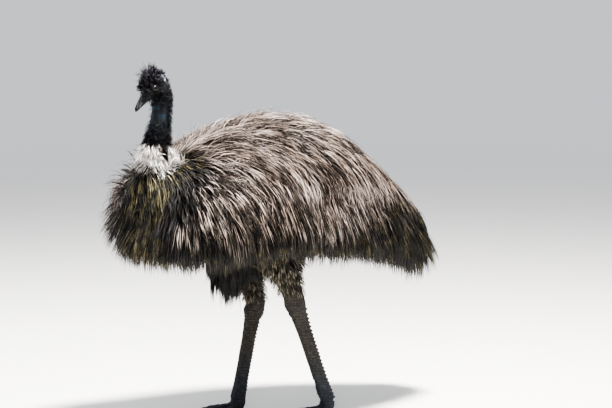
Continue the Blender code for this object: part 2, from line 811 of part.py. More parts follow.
def build_leg(emu, side):
    hip, hock, ankle = leg_points(side)
    thigh = limb("thigh_" + side, emu, hip, hock, THIGH_PROFILE, THIGH_SIDES, THIGH_STEP)
    shank = limb("shank_" + side, emu, hock, ankle, SHANK_PROFILE, SHANK_SIDES, SHANK_STEP)
    boolean(thigh, "DIFFERENCE", [cutter_from_body(emu)])
    keep_largest(thigh)
    sign = 1 if side == "left" else -1
    heel_end = Vector((ankle.x, ankle.y - HEEL_LEAN, HEEL_LOW))
    toes = [limb("heel", emu, ankle, heel_end, HEEL_PROFILE, SHANK_SIDES, HEEL_STEP)]
    for name, (angle, length, radius) in TOES.items():
        turn = math.radians(-angle * sign)
        toes.append(toe("toe", emu, ankle, turn, length, radius))
        made = claw(f"claw_{name}_{side}", emu, ankle, turn, length, radius)
        paint(made, CLAW_HORN, 0.45)
    foot = toes.pop()
    foot.name = "foot_" + side
    for made in toes:
        emu.objects.unlink(made)
    boolean(foot, "UNION", toes)
    keep_largest(foot)
    return thigh, shank, foot


def build_wing(emu, side):
    """The small vestigial wing: a slim flap that hangs against the flank."""
    sign = 1 if side == "left" else -1
    path = [(sign * x, y, z, across, deep) for x, y, z, across, deep in WING_PATH]
    wing = loft("wing_" + side, emu, sweep_rings(path, WING_SIDES, WING_STEP))
    boolean(wing, "DIFFERENCE", [cutter_from_body(emu)])
    keep_largest(wing)
    return wing


def stand_on_origin(nodes):
    """Moves the bird sideways so that the origin is on the floor under the middle of its box."""
    points = [v.co for made in nodes for v in made.data.vertices]
    middle = [(min(p[k] for p in points) + max(p[k] for p in points)) / 2 for k in (0, 1)]
    for made in nodes:
        made.data.transform(Matrix.Translation((-middle[0], -middle[1], 0)))


def dress_body(emu, body, fixed):
    """Locks from the tail forwards, so that each row lies over the one behind it."""
    chance = random.Random(7)
    breast, torso, rump = body
    for made, rows, others in (
        (rump, TAIL_ROWS, [torso]),
        (torso, TORSO_ROWS, [rump, breast, *fixed]),
        (breast, BREAST_ROWS, [torso, *fixed]),
    ):
        coat = Coat(emu, made, body, others)
        cover_rows(coat, rows, chance)
        if made is torso:
            for y in BELLY_TUFT["y"]:
                for x in BELLY_TUFT["x"]:
                    root = Vector((x + chance.uniform(-0.01, 0.01), y, 0.50))
                    way = Vector((chance.uniform(-0.1, 0.1), 0.25, -1.0))
                    length = BELLY_TUFT["length"] * chance.uniform(0.8, 1.1)
                    coat.grow(root, way, length, BELLY_TUFT["width"], hang=0.3)
        coat.fuse(made)


def neck_centre(z):
    """The neck's centre line at one height."""
    low, high = next((a, b) for a, b in zip(NECK_PATH, NECK_PATH[1:]) if a[2] <= z <= b[2])
    share = (z - low[2]) / (high[2] - low[2])
    return [low[k] + (high[k] - low[k]) * share for k in range(3)]


def dress_ruff(emu, neck, body, others):
    """Soft feathers that hang from the lower neck over the breast."""
    chance = random.Random(RUFF_SEED)
    coat = Coat(emu, neck, [neck, *body], [*body, *others])
    for row, (z, count, length, width) in enumerate(reversed(RUFF_ROWS)):
        middle = Vector(neck_centre(z))
        for k in range(count):
            angle = 2 * math.pi * (k + 0.5 * (row % 2)) / count
            out = Vector((math.sin(angle), -math.cos(angle), 0))
            root = middle + out * 0.1
            way = out * 0.12 + Vector((chance.uniform(-0.08, 0.08), 0, -1))
            coat.grow(root, way, length * chance.uniform(0.85, 1.1), width, thickness=0.005)
    coat.fuse(neck)


def dress_thigh(emu, thigh, side, others):
    """Short feathers that lie down the drumstick."""
    chance = random.Random(11)
    hip, hock, _ = leg_points(side)
    coat = Coat(emu, thigh, [thigh], others)
    for row, (share, count, length, width) in enumerate(THIGH_ROWS):
        middle = hip.lerp(hock, share)
        for k in range(count):
            angle = 2 * math.pi * (k + 0.5 * (row % 2)) / count
            out = Vector((math.sin(angle), -math.cos(angle), 0))
            way = (hock - hip).normalized() + out * 0.05
            coat.grow(middle + out * 0.1, way, length * chance.uniform(0.9, 1.1), width, thickness=0.004)
    coat.fuse(thigh)


def dress_wing(emu, wing, side, body, others):
    """Long feathers that droop from the little wing."""
    chance = random.Random(5)
    sign = 1 if side == "left" else -1
    coat = Coat(emu, wing, [wing, *body], [*body, *others])
    last = len(WING_PATH) - 1
    for share, length, width in WING_LOCKS:
        for rise in (-WING_LOCK_RISE, WING_LOCK_RISE):
            x, y, z = WING_PATH[round(share * last)][:3]
            root = Vector((sign * (x + 0.05), y, z + rise))
            way = Vector((0, 0.5 + chance.uniform(-0.1, 0.1), -1))
            coat.grow(root, way, length * chance.uniform(0.9, 1.1), width, thickness=0.005)
    coat.fuse(wing)


def dress_crown(emu, head, others):
    """Short hair-like locks that stand a little over the crown and forehead."""
    chance = random.Random(2)
    place = head_matrix()
    coat = Coat(emu, head, [head], others)
    for y, angles, length, width in CROWN_ROWS:
        for angle in angles:
            turn = math.radians(angle)
            root = place @ Vector((0.05 * math.sin(turn), y, 0.05 * math.cos(turn)))
            way = place.to_3x3() @ Vector((0.25 * math.sin(turn), 1, chance.uniform(0.0, 0.3)))
            coat.grow(
                root, way, length, width,
                thickness=CROWN_THICKNESS, hang=0.05, slope=0.22, depth=CROWN_ROOT,
            )
    coat.fuse(head)


def raise_scutes(emu, shank, side):
    """Plates raised on the shank: broad ones in front and a saw edge behind."""
    _, hock, ankle = leg_points(side)
    skin = tree_of([shank])
    along = (ankle - hock).normalized()
    plates = []
    for count, face, wide, tilt in SCUTE_ROWS:
        for k in range(count):
            centre = hock.lerp(ankle, SCUTE_START + SCUTE_SPAN * k / (count - 1))
            spot, normal, _, _ = skin.find_nearest(centre + Vector((0, face * 0.06, 0)))
            tall = SCUTE_FILL * (ankle - hock).length * SCUTE_SPAN / (count - 1)
            frame = Matrix((Vector((1, 0, 0)), along, Vector((1, 0, 0)).cross(along))).transposed()
            outward = frame.col[2] if frame.col[2].dot(normal) > 0 else -frame.col[2]
            bm = bmesh.new()
            bmesh.ops.create_cube(bm, size=2.0)
            for corner in bm.verts:
                x, y, z = corner.co
                raised = SCUTE_RISE * (SCUTE_TOP_EDGE + tilt + (y + 1) * SCUTE_SLOPE)
                height = raised if z > 0 else -SCUTE_SUNK
                pinch = SCUTE_PINCH if z > 0 else 1.0
                corner.co = (
                    spot
                    + Vector((1, 0, 0)) * (x * wide * pinch)
                    + along * (y * tall)
                    + outward * height
                )
            bmesh.ops.triangulate(bm, faces=bm.faces)
            made = mesh_object("scute", emu, bm)
            emu.objects.unlink(made)
            plates.append(made)
    boolean(shank, "UNION", plates, "MANIFOLD")
    keep_largest(shank)


def build_bird(emu):
    breast, torso, rump = build_body(emu)
    lower_neck, upper_neck = build_neck(emu)
    head, upper_bill, lower_bill, eyes = build_head(emu, upper_neck)
    wings = [build_wing(emu, side) for side in ("left", "right")]
    legs = {side: build_leg(emu, side) for side in ("left", "right")}
    thighs = [leg[0] for leg in legs.values()]
    shanks = [leg[1] for leg in legs.values()]
    body = [breast, torso, rump]
    for side, (thigh, shank, _) in legs.items():
        dress_thigh(emu, thigh, side, [*body, *shanks])
        raise_scutes(emu, shank, side)
    for side, wing in zip(("left", "right"), wings):
        dress_wing(emu, wing, side, body, thighs)
    dress_body(emu, body, [lower_neck, *wings, *thighs])
    dress_ruff(emu, lower_neck, body, [upper_neck, *wings])
    dress_crown(emu, head, [upper_neck, upper_bill, lower_bill, *eyes])
    for made in (breast, torso, rump, *wings):
        paint(made, PLUMAGE, 0.85)
    paint(lower_neck, COLLAR, 0.85)
    paint(upper_neck, NECK_SKIN, 0.75)
    paint(head, HEAD_SKIN, 0.75)
    for made in (upper_bill, lower_bill):
        paint(made, BILL_HORN, 0.4)
    for made in eyes:
        paint(made, EYE, 0.08)
    for thigh, shank, foot in legs.values():
        paint(thigh, LEG_FEATHERS, 0.85)
        paint(shank, SCALES, 0.6)
        paint(foot, SCALES, 0.6)
    stand_on_origin(list(emu.objects))


def main():
    for made in list(bpy.data.objects):
        bpy.data.objects.remove(made)
    emu = bpy.data.collections.new("emu")
    bpy.context.scene.collection.children.link(emu)
    build_bird(emu)


main()
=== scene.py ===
# %% [markdown]
# # A standing emu
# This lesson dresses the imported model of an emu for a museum-like picture. The bird has four
# kinds of surface: bare skin on the head and neck, scaled skin on the legs, horn on the bill and
# claws, and a deep coat of long hanging feathers. Each gets its own cells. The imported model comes
# in first, because every piece is placed from it.

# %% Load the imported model
import math

import bmesh
import bpy
import numpy as np
from mathutils import Matrix, Vector
from mathutils.bvhtree import BVHTree
from mathutils.kdtree import KDTree


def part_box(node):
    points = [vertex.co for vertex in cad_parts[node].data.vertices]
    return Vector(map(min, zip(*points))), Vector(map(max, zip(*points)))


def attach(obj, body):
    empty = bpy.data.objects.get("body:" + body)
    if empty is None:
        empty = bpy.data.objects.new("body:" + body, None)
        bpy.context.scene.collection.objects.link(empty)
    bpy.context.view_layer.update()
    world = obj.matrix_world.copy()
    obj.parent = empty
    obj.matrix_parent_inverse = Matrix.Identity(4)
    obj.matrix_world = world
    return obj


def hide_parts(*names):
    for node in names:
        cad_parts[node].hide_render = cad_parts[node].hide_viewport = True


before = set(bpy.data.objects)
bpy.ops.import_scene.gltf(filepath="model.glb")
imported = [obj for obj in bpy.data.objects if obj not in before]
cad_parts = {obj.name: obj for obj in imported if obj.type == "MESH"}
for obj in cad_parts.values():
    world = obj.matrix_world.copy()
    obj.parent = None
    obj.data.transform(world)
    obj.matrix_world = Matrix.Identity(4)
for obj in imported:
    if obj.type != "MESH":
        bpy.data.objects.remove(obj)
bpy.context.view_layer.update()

# %% [markdown]
# ## The bird's own axes
# All sizes below are in metres. The bird faces -Y, its left side is towards +X and the floor is
# z = 0. Its shapes are drawn about its own centre line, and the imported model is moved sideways
# so that its box is centred. The left eye is in both, so it gives the move between the two.

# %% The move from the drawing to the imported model
HEAD_AT = Vector((0.010, -0.456, 1.078))
HEAD_YAW = math.radians(11)
HEAD_PITCH = math.radians(41)
EYE_RADIUS = 0.0125
EYE_SPREAD = 0.0205
EYE_UP = 0.003

head_place = (
    Matrix.Translation(HEAD_AT)
    @ Matrix.Rotation(HEAD_YAW, 4, "Z")
    @ Matrix.Rotation(HEAD_PITCH, 4, "X")
)
eye_low, eye_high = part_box("eye_left")
eye_middle = (Vector(eye_low) + Vector(eye_high)) / 2
SHIFT = eye_middle - head_place @ Vector((EYE_SPREAD, 0, EYE_UP))
print("the drawing is moved by", [round(v, 4) for v in SHIFT])

# %% [markdown]
# ## The camera
# The photograph was taken from the bird's front left, a little above its back, with a long lens
# from some seven metres. A long lens keeps the near and the far flank almost the same size. The
# place and the aim were worked out from the heights of feet, hocks, back and crest.

# %% Camera
CAMERA_AT = Vector((6.29003, -4.08479, 1.45))
CAMERA_LOOKS = Vector((-0.825953, 0.554629, -0.100937))
LENS = 135.75


def new_object(name, data):
    """An object in the scene that shows this mesh, light or camera."""
    made = bpy.data.objects.new(name, data)
    bpy.context.scene.collection.objects.link(made)
    return made


camera_data = bpy.data.cameras.new("camera")
camera_data.lens = LENS
camera_data.sensor_width = 36.0
camera_data.clip_end = 400.0
camera = new_object("camera", camera_data)
camera.location = CAMERA_AT + SHIFT
camera.rotation_euler = CAMERA_LOOKS.to_track_quat("-Z", "Y").to_euler()
bpy.context.scene.camera = camera
print("the camera is", round((CAMERA_AT - Vector((0, 0, 0.7))).length, 2), "m from the body")

# %% [markdown]
# ## Reading a form from a few sections
# An animal's trunk could be sculpted, or blown up from spheres. Here it is a loft: ovals at a few
# stations, with a smooth curve through each column of numbers. It keeps the form tied to
# sizes that can be measured on the bird.

# %% Reading sections
def smooth_row(table, position):
    """Reads a table of rows (position, values...) on a smooth curve through its rows."""
    rows = sorted(table)
    position = min(max(position, rows[0][0]), rows[-1][0])
    last = len(rows) - 1
    i = max(k for k in range(last) if rows[k][0] <= position)
    span = rows[i + 1][0] - rows[i][0]
    t = (position - rows[i][0]) / span
    values = []
    for column in range(1, len(rows[0])):
        slopes = []
        for k in (i, i + 1):
            low, high = max(k - 1, 0), min(k + 1, last)
            rise = rows[high][column] - rows[low][column]
            slopes.append(rise / (rows[high][0] - rows[low][0]) * span)
        start, end = rows[i][column], rows[i + 1][column]
        values.append(
            start * (2 * t**3 - 3 * t**2 + 1)
            + slopes[0] * (t**3 - 2 * t**2 + t)
            + end * (3 * t**2 - 2 * t**3)
            + slopes[1] * (t**3 - t**2)
        )
    return values


def spaced(start, end, step):
    """Evenly spaced values from start to end, about step apart."""
    count = max(1, round(abs(end - start) / step))
    return [start + (end - start) * k / count for k in range(count + 1)]


def oval(sides, half_width, low, middle, high, squareness=2.0):
    """A closed outline in x and z, wider at its middle height."""
    outline = []
    for k in range(sides):
        angle = 2 * math.pi * k / sides
        cosine, sine = math.cos(angle), math.sin(angle)
        x = half_width * math.copysign(abs(cosine) ** (2 / squareness), cosine)
        rise = math.copysign(abs(sine) ** (2 / squareness), sine)
        outline.append((x, middle + rise * ((high - middle) if rise > 0 else (middle - low))))
    return outline


print("halfway from 0 to 1 a smooth row reads", smooth_row(((0, 0.0), (1, 1.0)), 0.5)[0])

# %% [markdown]
# An outline is set at station after station as a ring of points, and the rings are joined by one
# closed skin. A sweep does the same round a curved line.

# %% Lofts and sweeps
def mesh_object(name, bm):
    """An object from a mesh under work, which is then let go."""
    mesh = bpy.data.meshes.new(name)
    bm.to_mesh(mesh)
    bm.free()
    return new_object(name, mesh)


def loft(name, rings):
    """A closed skin through rings of equal count, with a cap at each end."""
    bm = bmesh.new()
    built = [[bm.verts.new(point) for point in ring] for ring in rings]
    sides = len(rings[0])
    for near, far in zip(built, built[1:]):
        for k in range(sides):
            n = (k + 1) % sides
            bm.faces.new((near[k], near[n], far[n], far[k]))
    bm.faces.new(built[0])
    bm.faces.new(built[-1])
    bmesh.ops.recalc_face_normals(bm, faces=bm.faces)
    return mesh_object(name, bm)


def sweep(name, path, sides, step):
    """A tube round a line given as rows (x, y, z, radius across, radius fore and aft)."""
    stations, length = [(0.0, *path[0])], 0.0
    for a, b in zip(path, path[1:]):
        length += (Vector(b[:3]) - Vector(a[:3])).length
        stations.append((length, *b))
    rows = [smooth_row(stations, mark) for mark in spaced(0.0, length, step)]
    rings = []
    for k, row in enumerate(rows):
        before, after = rows[max(k - 1, 0)], rows[min(k + 1, len(rows) - 1)]
        along = (Vector(after[:3]) - Vector(before[:3])).normalized()
        across = (Vector((1, 0, 0)) - along * along.x).normalized()
        deep = along.cross(across)
        angles = [2 * math.pi * side / sides for side in range(sides)]
        rings.append([
            Vector(row[:3]) + across * (math.cos(a) * row[3]) + deep * (math.sin(a) * row[4])
            for a in angles
        ])
    return loft(name, rings)


print("a form can now be read from its sections")

# %% [markdown]
# ## Joining lumps into one soft form
# Muscles, lids and plates start as separate closed shapes. A voxel remesh melts shapes that
# overlap into one skin with even faces, and a little smoothing then rounds where they meet. It
# rounds away anything smaller than its voxel, so the voxel is chosen for the smallest fold.

# %% Melting shapes together
def join(name, parts):
    """One object that holds all the parts' meshes."""
    bm = bmesh.new()
    for part in parts:
        part.data.transform(part.matrix_world)
        bm.from_mesh(part.data)
        bpy.data.objects.remove(part)
    return mesh_object(name, bm)


def apply_modifiers(made):
    """Gives an object the mesh that its modifiers show."""
    graph = bpy.context.evaluated_depsgraph_get()
    fresh = bpy.data.meshes.new_from_object(made.evaluated_get(graph))
    made.modifiers.clear()
    made.data = fresh
    return made


def melt(name, parts, voxel, smoothing):
    """The parts as one even skin."""
    made = join(name, parts)
    remesh = made.modifiers.new("melt", "REMESH")
    remesh.mode = "VOXEL"
    remesh.voxel_size = voxel
    soften = made.modifiers.new("soften", "SMOOTH")
    soften.factor = 0.5
    soften.iterations = smoothing
    return apply_modifiers(made)


def ball(centre, radius, scale=(1, 1, 1), turn=None):
    """A rounded lump, stretched in its own axes and then turned."""
    bm = bmesh.new()
    bmesh.ops.create_icosphere(bm, subdivisions=3, radius=radius)
    made = mesh_object("lump", bm)
    made.data.transform(Matrix.Diagonal((*scale, 1)))
    if turn is not None:
        made.data.transform(turn)
    made.data.transform(Matrix.Translation(centre))
    return made


print("lumps can now be melted into one skin")

# %% [markdown]
# ## The trunk under the feathers
# Nothing of the trunk's own skin shows on an emu: it is the ground that the feathers stand on.
# So it needs the right size and a smooth face, and no detail. It lies inside the solid model's
# body, so that the feathers fill the room between the two.

# %% Trunk
BODY_SECTIONS = (
    (-0.488, 0.052, 0.625, 0.690, 0.745),
    (-0.476, 0.115, 0.590, 0.685, 0.785),
    (-0.445, 0.186, 0.562, 0.680, 0.820),
    (-0.390, 0.214, 0.550, 0.678, 0.850),
    (-0.290, 0.229, 0.545, 0.685, 0.886),
    (-0.180, 0.236, 0.540, 0.695, 0.926),
    (-0.050, 0.242, 0.535, 0.700, 0.955),
    (0.070, 0.240, 0.530, 0.700, 0.951),
    (0.190, 0.226, 0.525, 0.690, 0.912),
    (0.310, 0.196, 0.520, 0.668, 0.838),
    (0.420, 0.150, 0.514, 0.635, 0.752),
    (0.500, 0.110, 0.500, 0.595, 0.684),
    (0.560, 0.070, 0.492, 0.556, 0.624),
    (0.594, 0.030, 0.500, 0.532, 0.572),
)
CORE_DEPTH = 0.006
BELLY_LIFT = 0.014
TRUNK_SQUARENESS = 2.25
TRUNK_VOXEL = 0.008

trunk_rings = []
for y in spaced(BODY_SECTIONS[0][0] + CORE_DEPTH, BODY_SECTIONS[-1][0] - CORE_DEPTH, 0.02):
    half_width, low, middle, high = smooth_row(BODY_SECTIONS, y)
    low += CORE_DEPTH + BELLY_LIFT
    outline = oval(64, half_width - CORE_DEPTH, low, middle, high - CORE_DEPTH, TRUNK_SQUARENESS)
    trunk_rings.append([Vector((x, y, z)) for x, z in outline])
NECK_ROOT = (
    (0.000, -0.330, 0.700, 0.112, 0.112),
    (0.000, -0.400, 0.752, 0.090, 0.086),
    (0.000, -0.432, 0.812, 0.060, 0.058),
    (0.000, -0.430, 0.864, 0.040, 0.040),
    (0.001, -0.426, 0.890, 0.034, 0.034),
)
trunk_parts = [loft("trunk", trunk_rings), sweep("neck_root", NECK_ROOT, 48, 0.01)]
trunk = melt("trunk", trunk_parts, TRUNK_VOXEL, 6)
print("the trunk has", len(trunk.data.polygons), "faces")

# %% [markdown]
# ## Neck and head
# The neck is a tube with a loose wrinkled skin, wider where it runs into the chest. The head is
# flat on top, with a brow over each eye, a hollow in front of it and a hole for the ear behind.
# These are small lumps melted into the skull at a fine voxel, rather than painted on, because
# the head is what people look at first.

# %% Neck and head
NECK_PATH = (
    (0.000, -0.430, 0.856, 0.030, 0.030),
    (0.000, -0.430, 0.866, 0.040, 0.040),
    (0.001, -0.427, 0.915, 0.033, 0.034),
    (0.003, -0.421, 0.965, 0.029, 0.031),
    (0.004, -0.414, 1.012, 0.0262, 0.029),
    (0.005, -0.412, 1.052, 0.0235, 0.0275),
    (0.005, -0.419, 1.088, 0.0205, 0.0245),
)
HEAD_SECTIONS = (
    (0.0650, 0.0080, -0.0160, -0.0050, 0.0060),
    (0.0600, 0.0165, -0.0265, -0.0050, 0.0155),
    (0.0480, 0.0238, -0.0325, -0.0050, 0.0238),
    (0.0280, 0.0275, -0.0330, -0.0040, 0.0285),
    (0.0060, 0.0275, -0.0305, -0.0030, 0.0290),
    (-0.0120, 0.0250, -0.0270, -0.0030, 0.0245),
    (-0.0250, 0.0210, -0.0236, -0.0050, 0.0172),
    (-0.0338, 0.0182, -0.0212, -0.0060, 0.0122),
)
HEAD_SQUARENESS = 2.2
# each lump's place on the left side, its radius and its stretch
HEAD_LUMPS = {
    "brow": ((0.0215, -0.0020, 0.0150), 0.0085, (0.75, 1.9, 0.55)),
    "cheek": ((0.0190, 0.0180, -0.0150), 0.0130, (0.80, 1.5, 0.90)),
    "ear rim": ((0.0258, 0.0300, -0.0075), 0.0062, (0.62, 1.1, 1.25)),
    "corner of the mouth": ((0.0150, -0.0260, -0.0120), 0.0085, (0.75, 1.5, 0.60)),
}
LID_RISE = {"upper": 0.0074, "lower": -0.0082}
LID_HALF_LENGTH = 0.0108
LID_RADIUS = 0.0017
LID_OFF_BALL = 0.0004

head_rings = []
for y in spaced(HEAD_SECTIONS[0][0], HEAD_SECTIONS[-1][0], 0.003):
    half_width, low, middle, high = smooth_row(HEAD_SECTIONS, y)
    outline = oval(48, half_width, low, middle, high, HEAD_SQUARENESS)
    head_rings.append([head_place @ Vector((x, y, z)) for x, z in outline])
head_lumps = [loft("skull", head_rings)]
head_turn = head_place.to_3x3().to_4x4()
for side in (1, -1):
    for (x, y, z), radius, scale in HEAD_LUMPS.values():
        spot = head_place @ Vector((side * x, y, z))
        head_lumps.append(ball(spot, radius, scale, head_turn))
print("the head has", len(head_lumps), "parts before the lids")

# %% [markdown]
# A lid is a thin tube that lies on the eyeball from corner to corner. The two of each eye are drawn
# by one rule, and the neck is a sweep up to the back of the skull.

# %% Lids and neck
def lid(side, which):
    """A fold of skin that follows the eyeball, over or under the opening."""
    centre = Vector((side * EYE_SPREAD, 0, EYE_UP))
    path = []
    for k in range(13):
        turn = math.radians(-92 + 184 * k / 12)
        rise = math.cos(turn) * LID_RISE[which]
        run = math.sin(turn) * LID_HALF_LENGTH
        depth = math.sqrt(max(0.0, (EYE_RADIUS + LID_OFF_BALL) ** 2 - rise**2 - run**2))
        point = head_place @ (centre + Vector((side * depth, run, rise)))
        path.append((*point, LID_RADIUS, LID_RADIUS))
    return sweep("lid", path, 10, 0.0015)


for side in (1, -1):
    for which in LID_RISE:
        head_lumps.append(lid(side, which))
neck = sweep("neck", NECK_PATH, 48, 0.006)
print("the head is made of", len(head_lumps), "lumps")

# %% [markdown]
# The eye sits in a socket, so a ball a hair larger than the eyeball is cut from the skull before
# the lids go on. A Boolean cut keeps a crisp rim, which the voxel remesh then rounds a little, as
# wet skin does round a real eye.

# %% Sockets, ears and one fine skin
SOCKET_GAP = 0.0003
EAR_AT = (0.0305, 0.0300, -0.0080)
EAR_RADIUS = 0.0042
SKULL_VOXEL = 0.0014
HEAD_VOXEL = 0.0012


def cut(made, cutters):
    """Cuts the other objects from this one and removes them."""
    for other in cutters:
        modifier = made.modifiers.new("cut", "BOOLEAN")
        modifier.operation = "DIFFERENCE"
        modifier.solver = "EXACT"
        modifier.object = other
    apply_modifiers(made)
    for other in cutters:
        bpy.data.objects.remove(other)
    return made


lids = [part for part in head_lumps if part.name.startswith("lid")]
skull = melt("skull", [part for part in head_lumps if part not in lids] + [neck], SKULL_VOXEL, 3)
hollows = []
for side in (1, -1):
    socket = Vector((side * EYE_SPREAD, 0, EYE_UP))
    hollows.append(ball(head_place @ socket, EYE_RADIUS + SOCKET_GAP))
    ear = Vector((side * EAR_AT[0], *EAR_AT[1:]))
    hollows.append(ball(head_place @ ear, EAR_RADIUS, (0.9, 0.8, 1.25), head_turn))
skull = cut(skull, hollows)
head_and_neck = melt("head_and_neck", [skull, *lids], HEAD_VOXEL, 1)
print("head and neck have", len(head_and_neck.data.polygons), "faces")

# %% [markdown]
# ## Legs and feet
# An emu's leg is feathered to the hock. Below it a long shank has broad plates in front, small
# round scales at the sides and a saw edge of pointed scales behind. Each of the three toes has
# soft pads under it and a row of half-ring plates on top. Plates are solid wedges set along the
# leg by a loop, so that their edges catch the light, and the small scales are left to bump.

# %% Leg sizes
STANCE_HALF_WIDTH = 0.100
HOCK = {"left": (0.024, 0.390), "right": (0.004, 0.352)}
FOOT_Y = {"left": 0.156, "right": -0.062}
ANKLE_HEIGHT = 0.040
THIGH_PROFILE = (
    (0.00, 0.074, 0.100),
    (0.30, 0.064, 0.083),
    (0.55, 0.048, 0.059),
    (0.75, 0.035, 0.042),
    (0.90, 0.0285, 0.035),
    (1.00, 0.0275, 0.0345),
)
SHANK_PROFILE = (
    (0.00, 0.0275, 0.0345),
    (0.06, 0.0272, 0.0342),
    (0.11, 0.0246, 0.0310),
    (0.16, 0.0206, 0.0262),
    (0.32, 0.0167, 0.0213),
    (0.55, 0.0157, 0.0203),
    (0.78, 0.0167, 0.0203),
    (0.92, 0.0202, 0.0226),
    (1.00, 0.0222, 0.0242),
)
HEEL_PROFILE = (
    (0.0, 0.0222, 0.0242),
    (0.5, 0.0232, 0.0260),
    (1.0, 0.0170, 0.0210),
)
# each toe's angle, length and radius
TOES = {"inner": (30, 0.098, 0.0150), "middle": (0, 0.140, 0.0180), "outer": (-30, 0.104, 0.0150)}
TOE_SECTIONS = (
    (-0.10, 0.70, 1.55),
    (0.05, 1.00, 1.70),
    (0.22, 1.00, 1.45),
    (0.30, 0.90, 1.25),
    (0.42, 1.02, 1.30),
    (0.54, 0.86, 1.08),
    (0.66, 0.94, 1.12),
    (0.78, 0.78, 0.94),
    (0.90, 0.80, 0.90),
    (0.99, 0.52, 0.66),
)
FRONT_PLATES = 34
SAW_SCALES = 24
TOE_PLATES = {"inner": 13, "middle": 18, "outer": 13}
PLATE_THICKNESS = 0.0022
# count, side of the leg, half width, thickness, first and last share of the shank, outward lean
SHANK_SCALES = (
    (FRONT_PLATES, -1, 0.0125, PLATE_THICKNESS, 0.05, 0.985, 0.10),
    (SAW_SCALES, 1, 0.0052, 0.0062, 0.10, 0.93, 0.34),
)
LEG_VOXEL = 0.0021
print("the hocks are", [z for _, z in HOCK.values()], "m above the floor")

# %% [markdown]
# Three points give each leg its line, and an angle gives each toe its way. A plate is a low wedge
# that is thickest towards the foot.

# %% Points, toes and plates
def leg_points(side):
    """Hip, hock and ankle of one leg."""
    sign = 1 if side == "left" else -1
    x = sign * STANCE_HALF_WIDTH
    hock_y, hock_z = HOCK[side]
    return (
        Vector((x * 0.95, -0.065, 0.640)),
        Vector((x, hock_y, hock_z)),
        Vector((x * 1.02, FOOT_Y[side], ANKLE_HEIGHT)),
    )


def toe_axes(side, name):
    """The way a toe points, and the way across it."""
    turn = math.radians(-TOES[name][0] * (1 if side == "left" else -1))
    forward = Vector((math.sin(turn), -math.cos(turn), 0))
    return forward, Vector((math.cos(turn), math.sin(turn), 0))


def plate(centre, along, outward, wide, tall, thick):
    """One raised scale: a low wedge with its thick edge towards the foot."""
    across = along.cross(outward).normalized()
    rings = []
    for share, height in ((-1.0, 0.15), (0.2, 0.75), (0.85, 1.0), (1.0, 0.35)):
        ring = []
        for k in range(10):
            turn = 2 * math.pi * k / 10
            x = math.cos(turn) * wide * (1 - 0.12 * share**2)
            z = math.sin(turn) * thick * (height if math.sin(turn) > 0 else 1.0)
            ring.append(centre + across * x + along * (tall * share) + outward * z)
        rings.append(ring)
    return loft("plate", rings)


print("legs have", FRONT_PLATES, "front plates and", SAW_SCALES, "saw scales each")

# %% [markdown]
# Each leg is gathered from lengths of tube and many small wedges, and is melted as one. The finest
# thing on it is a wedge's edge of two millimetres, so the voxel is just over that.

# %% The parts of a leg
def tube_path(start, end, profile):
    """A straight line with the two radii of a profile along it, as rows for a sweep."""
    return [(*start.lerp(end, share), across, deep) for share, across, deep in profile]


def shank_scales(shank, hock, ankle):
    """The front plates and the saw edge behind, each set on the shank's own surface."""
    surface = BVHTree.FromObject(shank, bpy.context.evaluated_depsgraph_get())
    along = (ankle - hock).normalized()
    raised = []
    for count, face, wide, thick, start, end, lean in SHANK_SCALES:
        reach = (end - start) * (ankle - hock).length / (count - 1)
        for k in range(count):
            level = hock.lerp(ankle, start + (end - start) * k / (count - 1))
            spot, normal, _, _ = surface.find_nearest(level + Vector((0, face * 0.06, 0)))
            outward = (normal - along * normal.dot(along)).normalized()
            tilted = (along + outward * lean).normalized()
            raised.append(plate(spot, tilted, outward, wide, reach * 0.62, thick))
    return raised


def build_toe(side, name, ankle):
    """One padded toe, flat below, and the row of plates on top of it."""
    _, length, radius = TOES[name]
    forward, across = toe_axes(side, name)
    rings = []
    for share in spaced(-0.10, 0.99, 0.03):
        wide, tall = smooth_row(TOE_SECTIONS, share)
        centre = Vector((ankle.x, ankle.y, 0)) + forward * (length * share)
        ring = []
        for k in range(28):
            around = 2 * math.pi * k / 28
            height = max(0.0004, radius * tall * (0.50 + 0.54 * math.sin(around)))
            side_step = across * (radius * wide * math.cos(around))
            ring.append(centre + side_step + Vector((0, 0, height)))
        rings.append(ring)
    parts = [loft("toe", rings)]
    slope = (forward + Vector((0, 0, -0.12))).normalized()
    count = TOE_PLATES[name]
    for k in range(count):
        share = 0.16 + 0.82 * k / (count - 1)
        wide, tall = smooth_row(TOE_SECTIONS, share)
        centre = Vector((ankle.x, ankle.y, radius * tall * 0.93)) + forward * (length * share)
        size = (radius * wide * 0.72, length * 0.40 / count, PLATE_THICKNESS)
        parts.append(plate(centre, slope, Vector((0, 0, 1)), *size))
    return parts


print("a toe has up to", max(TOE_PLATES.values()), "plates on top")

# %% [markdown]
# Thigh, shank and heel are three tubes that overlap, and the scales and toes are added to them. The
# shank's first row lies a little above the hock, so that the knob of the joint is whole.

# %% Build each leg and foot
def build_leg(side):
    """One leg from hip to toes, melted into one."""
    hip, hock, ankle = leg_points(side)
    above_hock = (*(hock + Vector((0, -0.002, 0.02))), 0.026, 0.033)
    heel_end = Vector((ankle.x, ankle.y - 0.006, 0.0055))
    parts = [
        sweep("thigh", tube_path(hip, hock, THIGH_PROFILE), 36, 0.01),
        sweep("shank", [above_hock, *tube_path(hock, ankle, SHANK_PROFILE)], 32, 0.006),
        sweep("heel", tube_path(ankle, heel_end, HEEL_PROFILE), 32, 0.005),
    ]
    parts += shank_scales(parts[1], hock, ankle)
    for name in TOES:
        parts += build_toe(side, name, ankle)
    return melt("leg_" + side, parts, LEG_VOXEL, 1)


legs = [build_leg(side) for side in ("left", "right")]
print("legs have", [len(leg.data.polygons) for leg in legs], "faces")

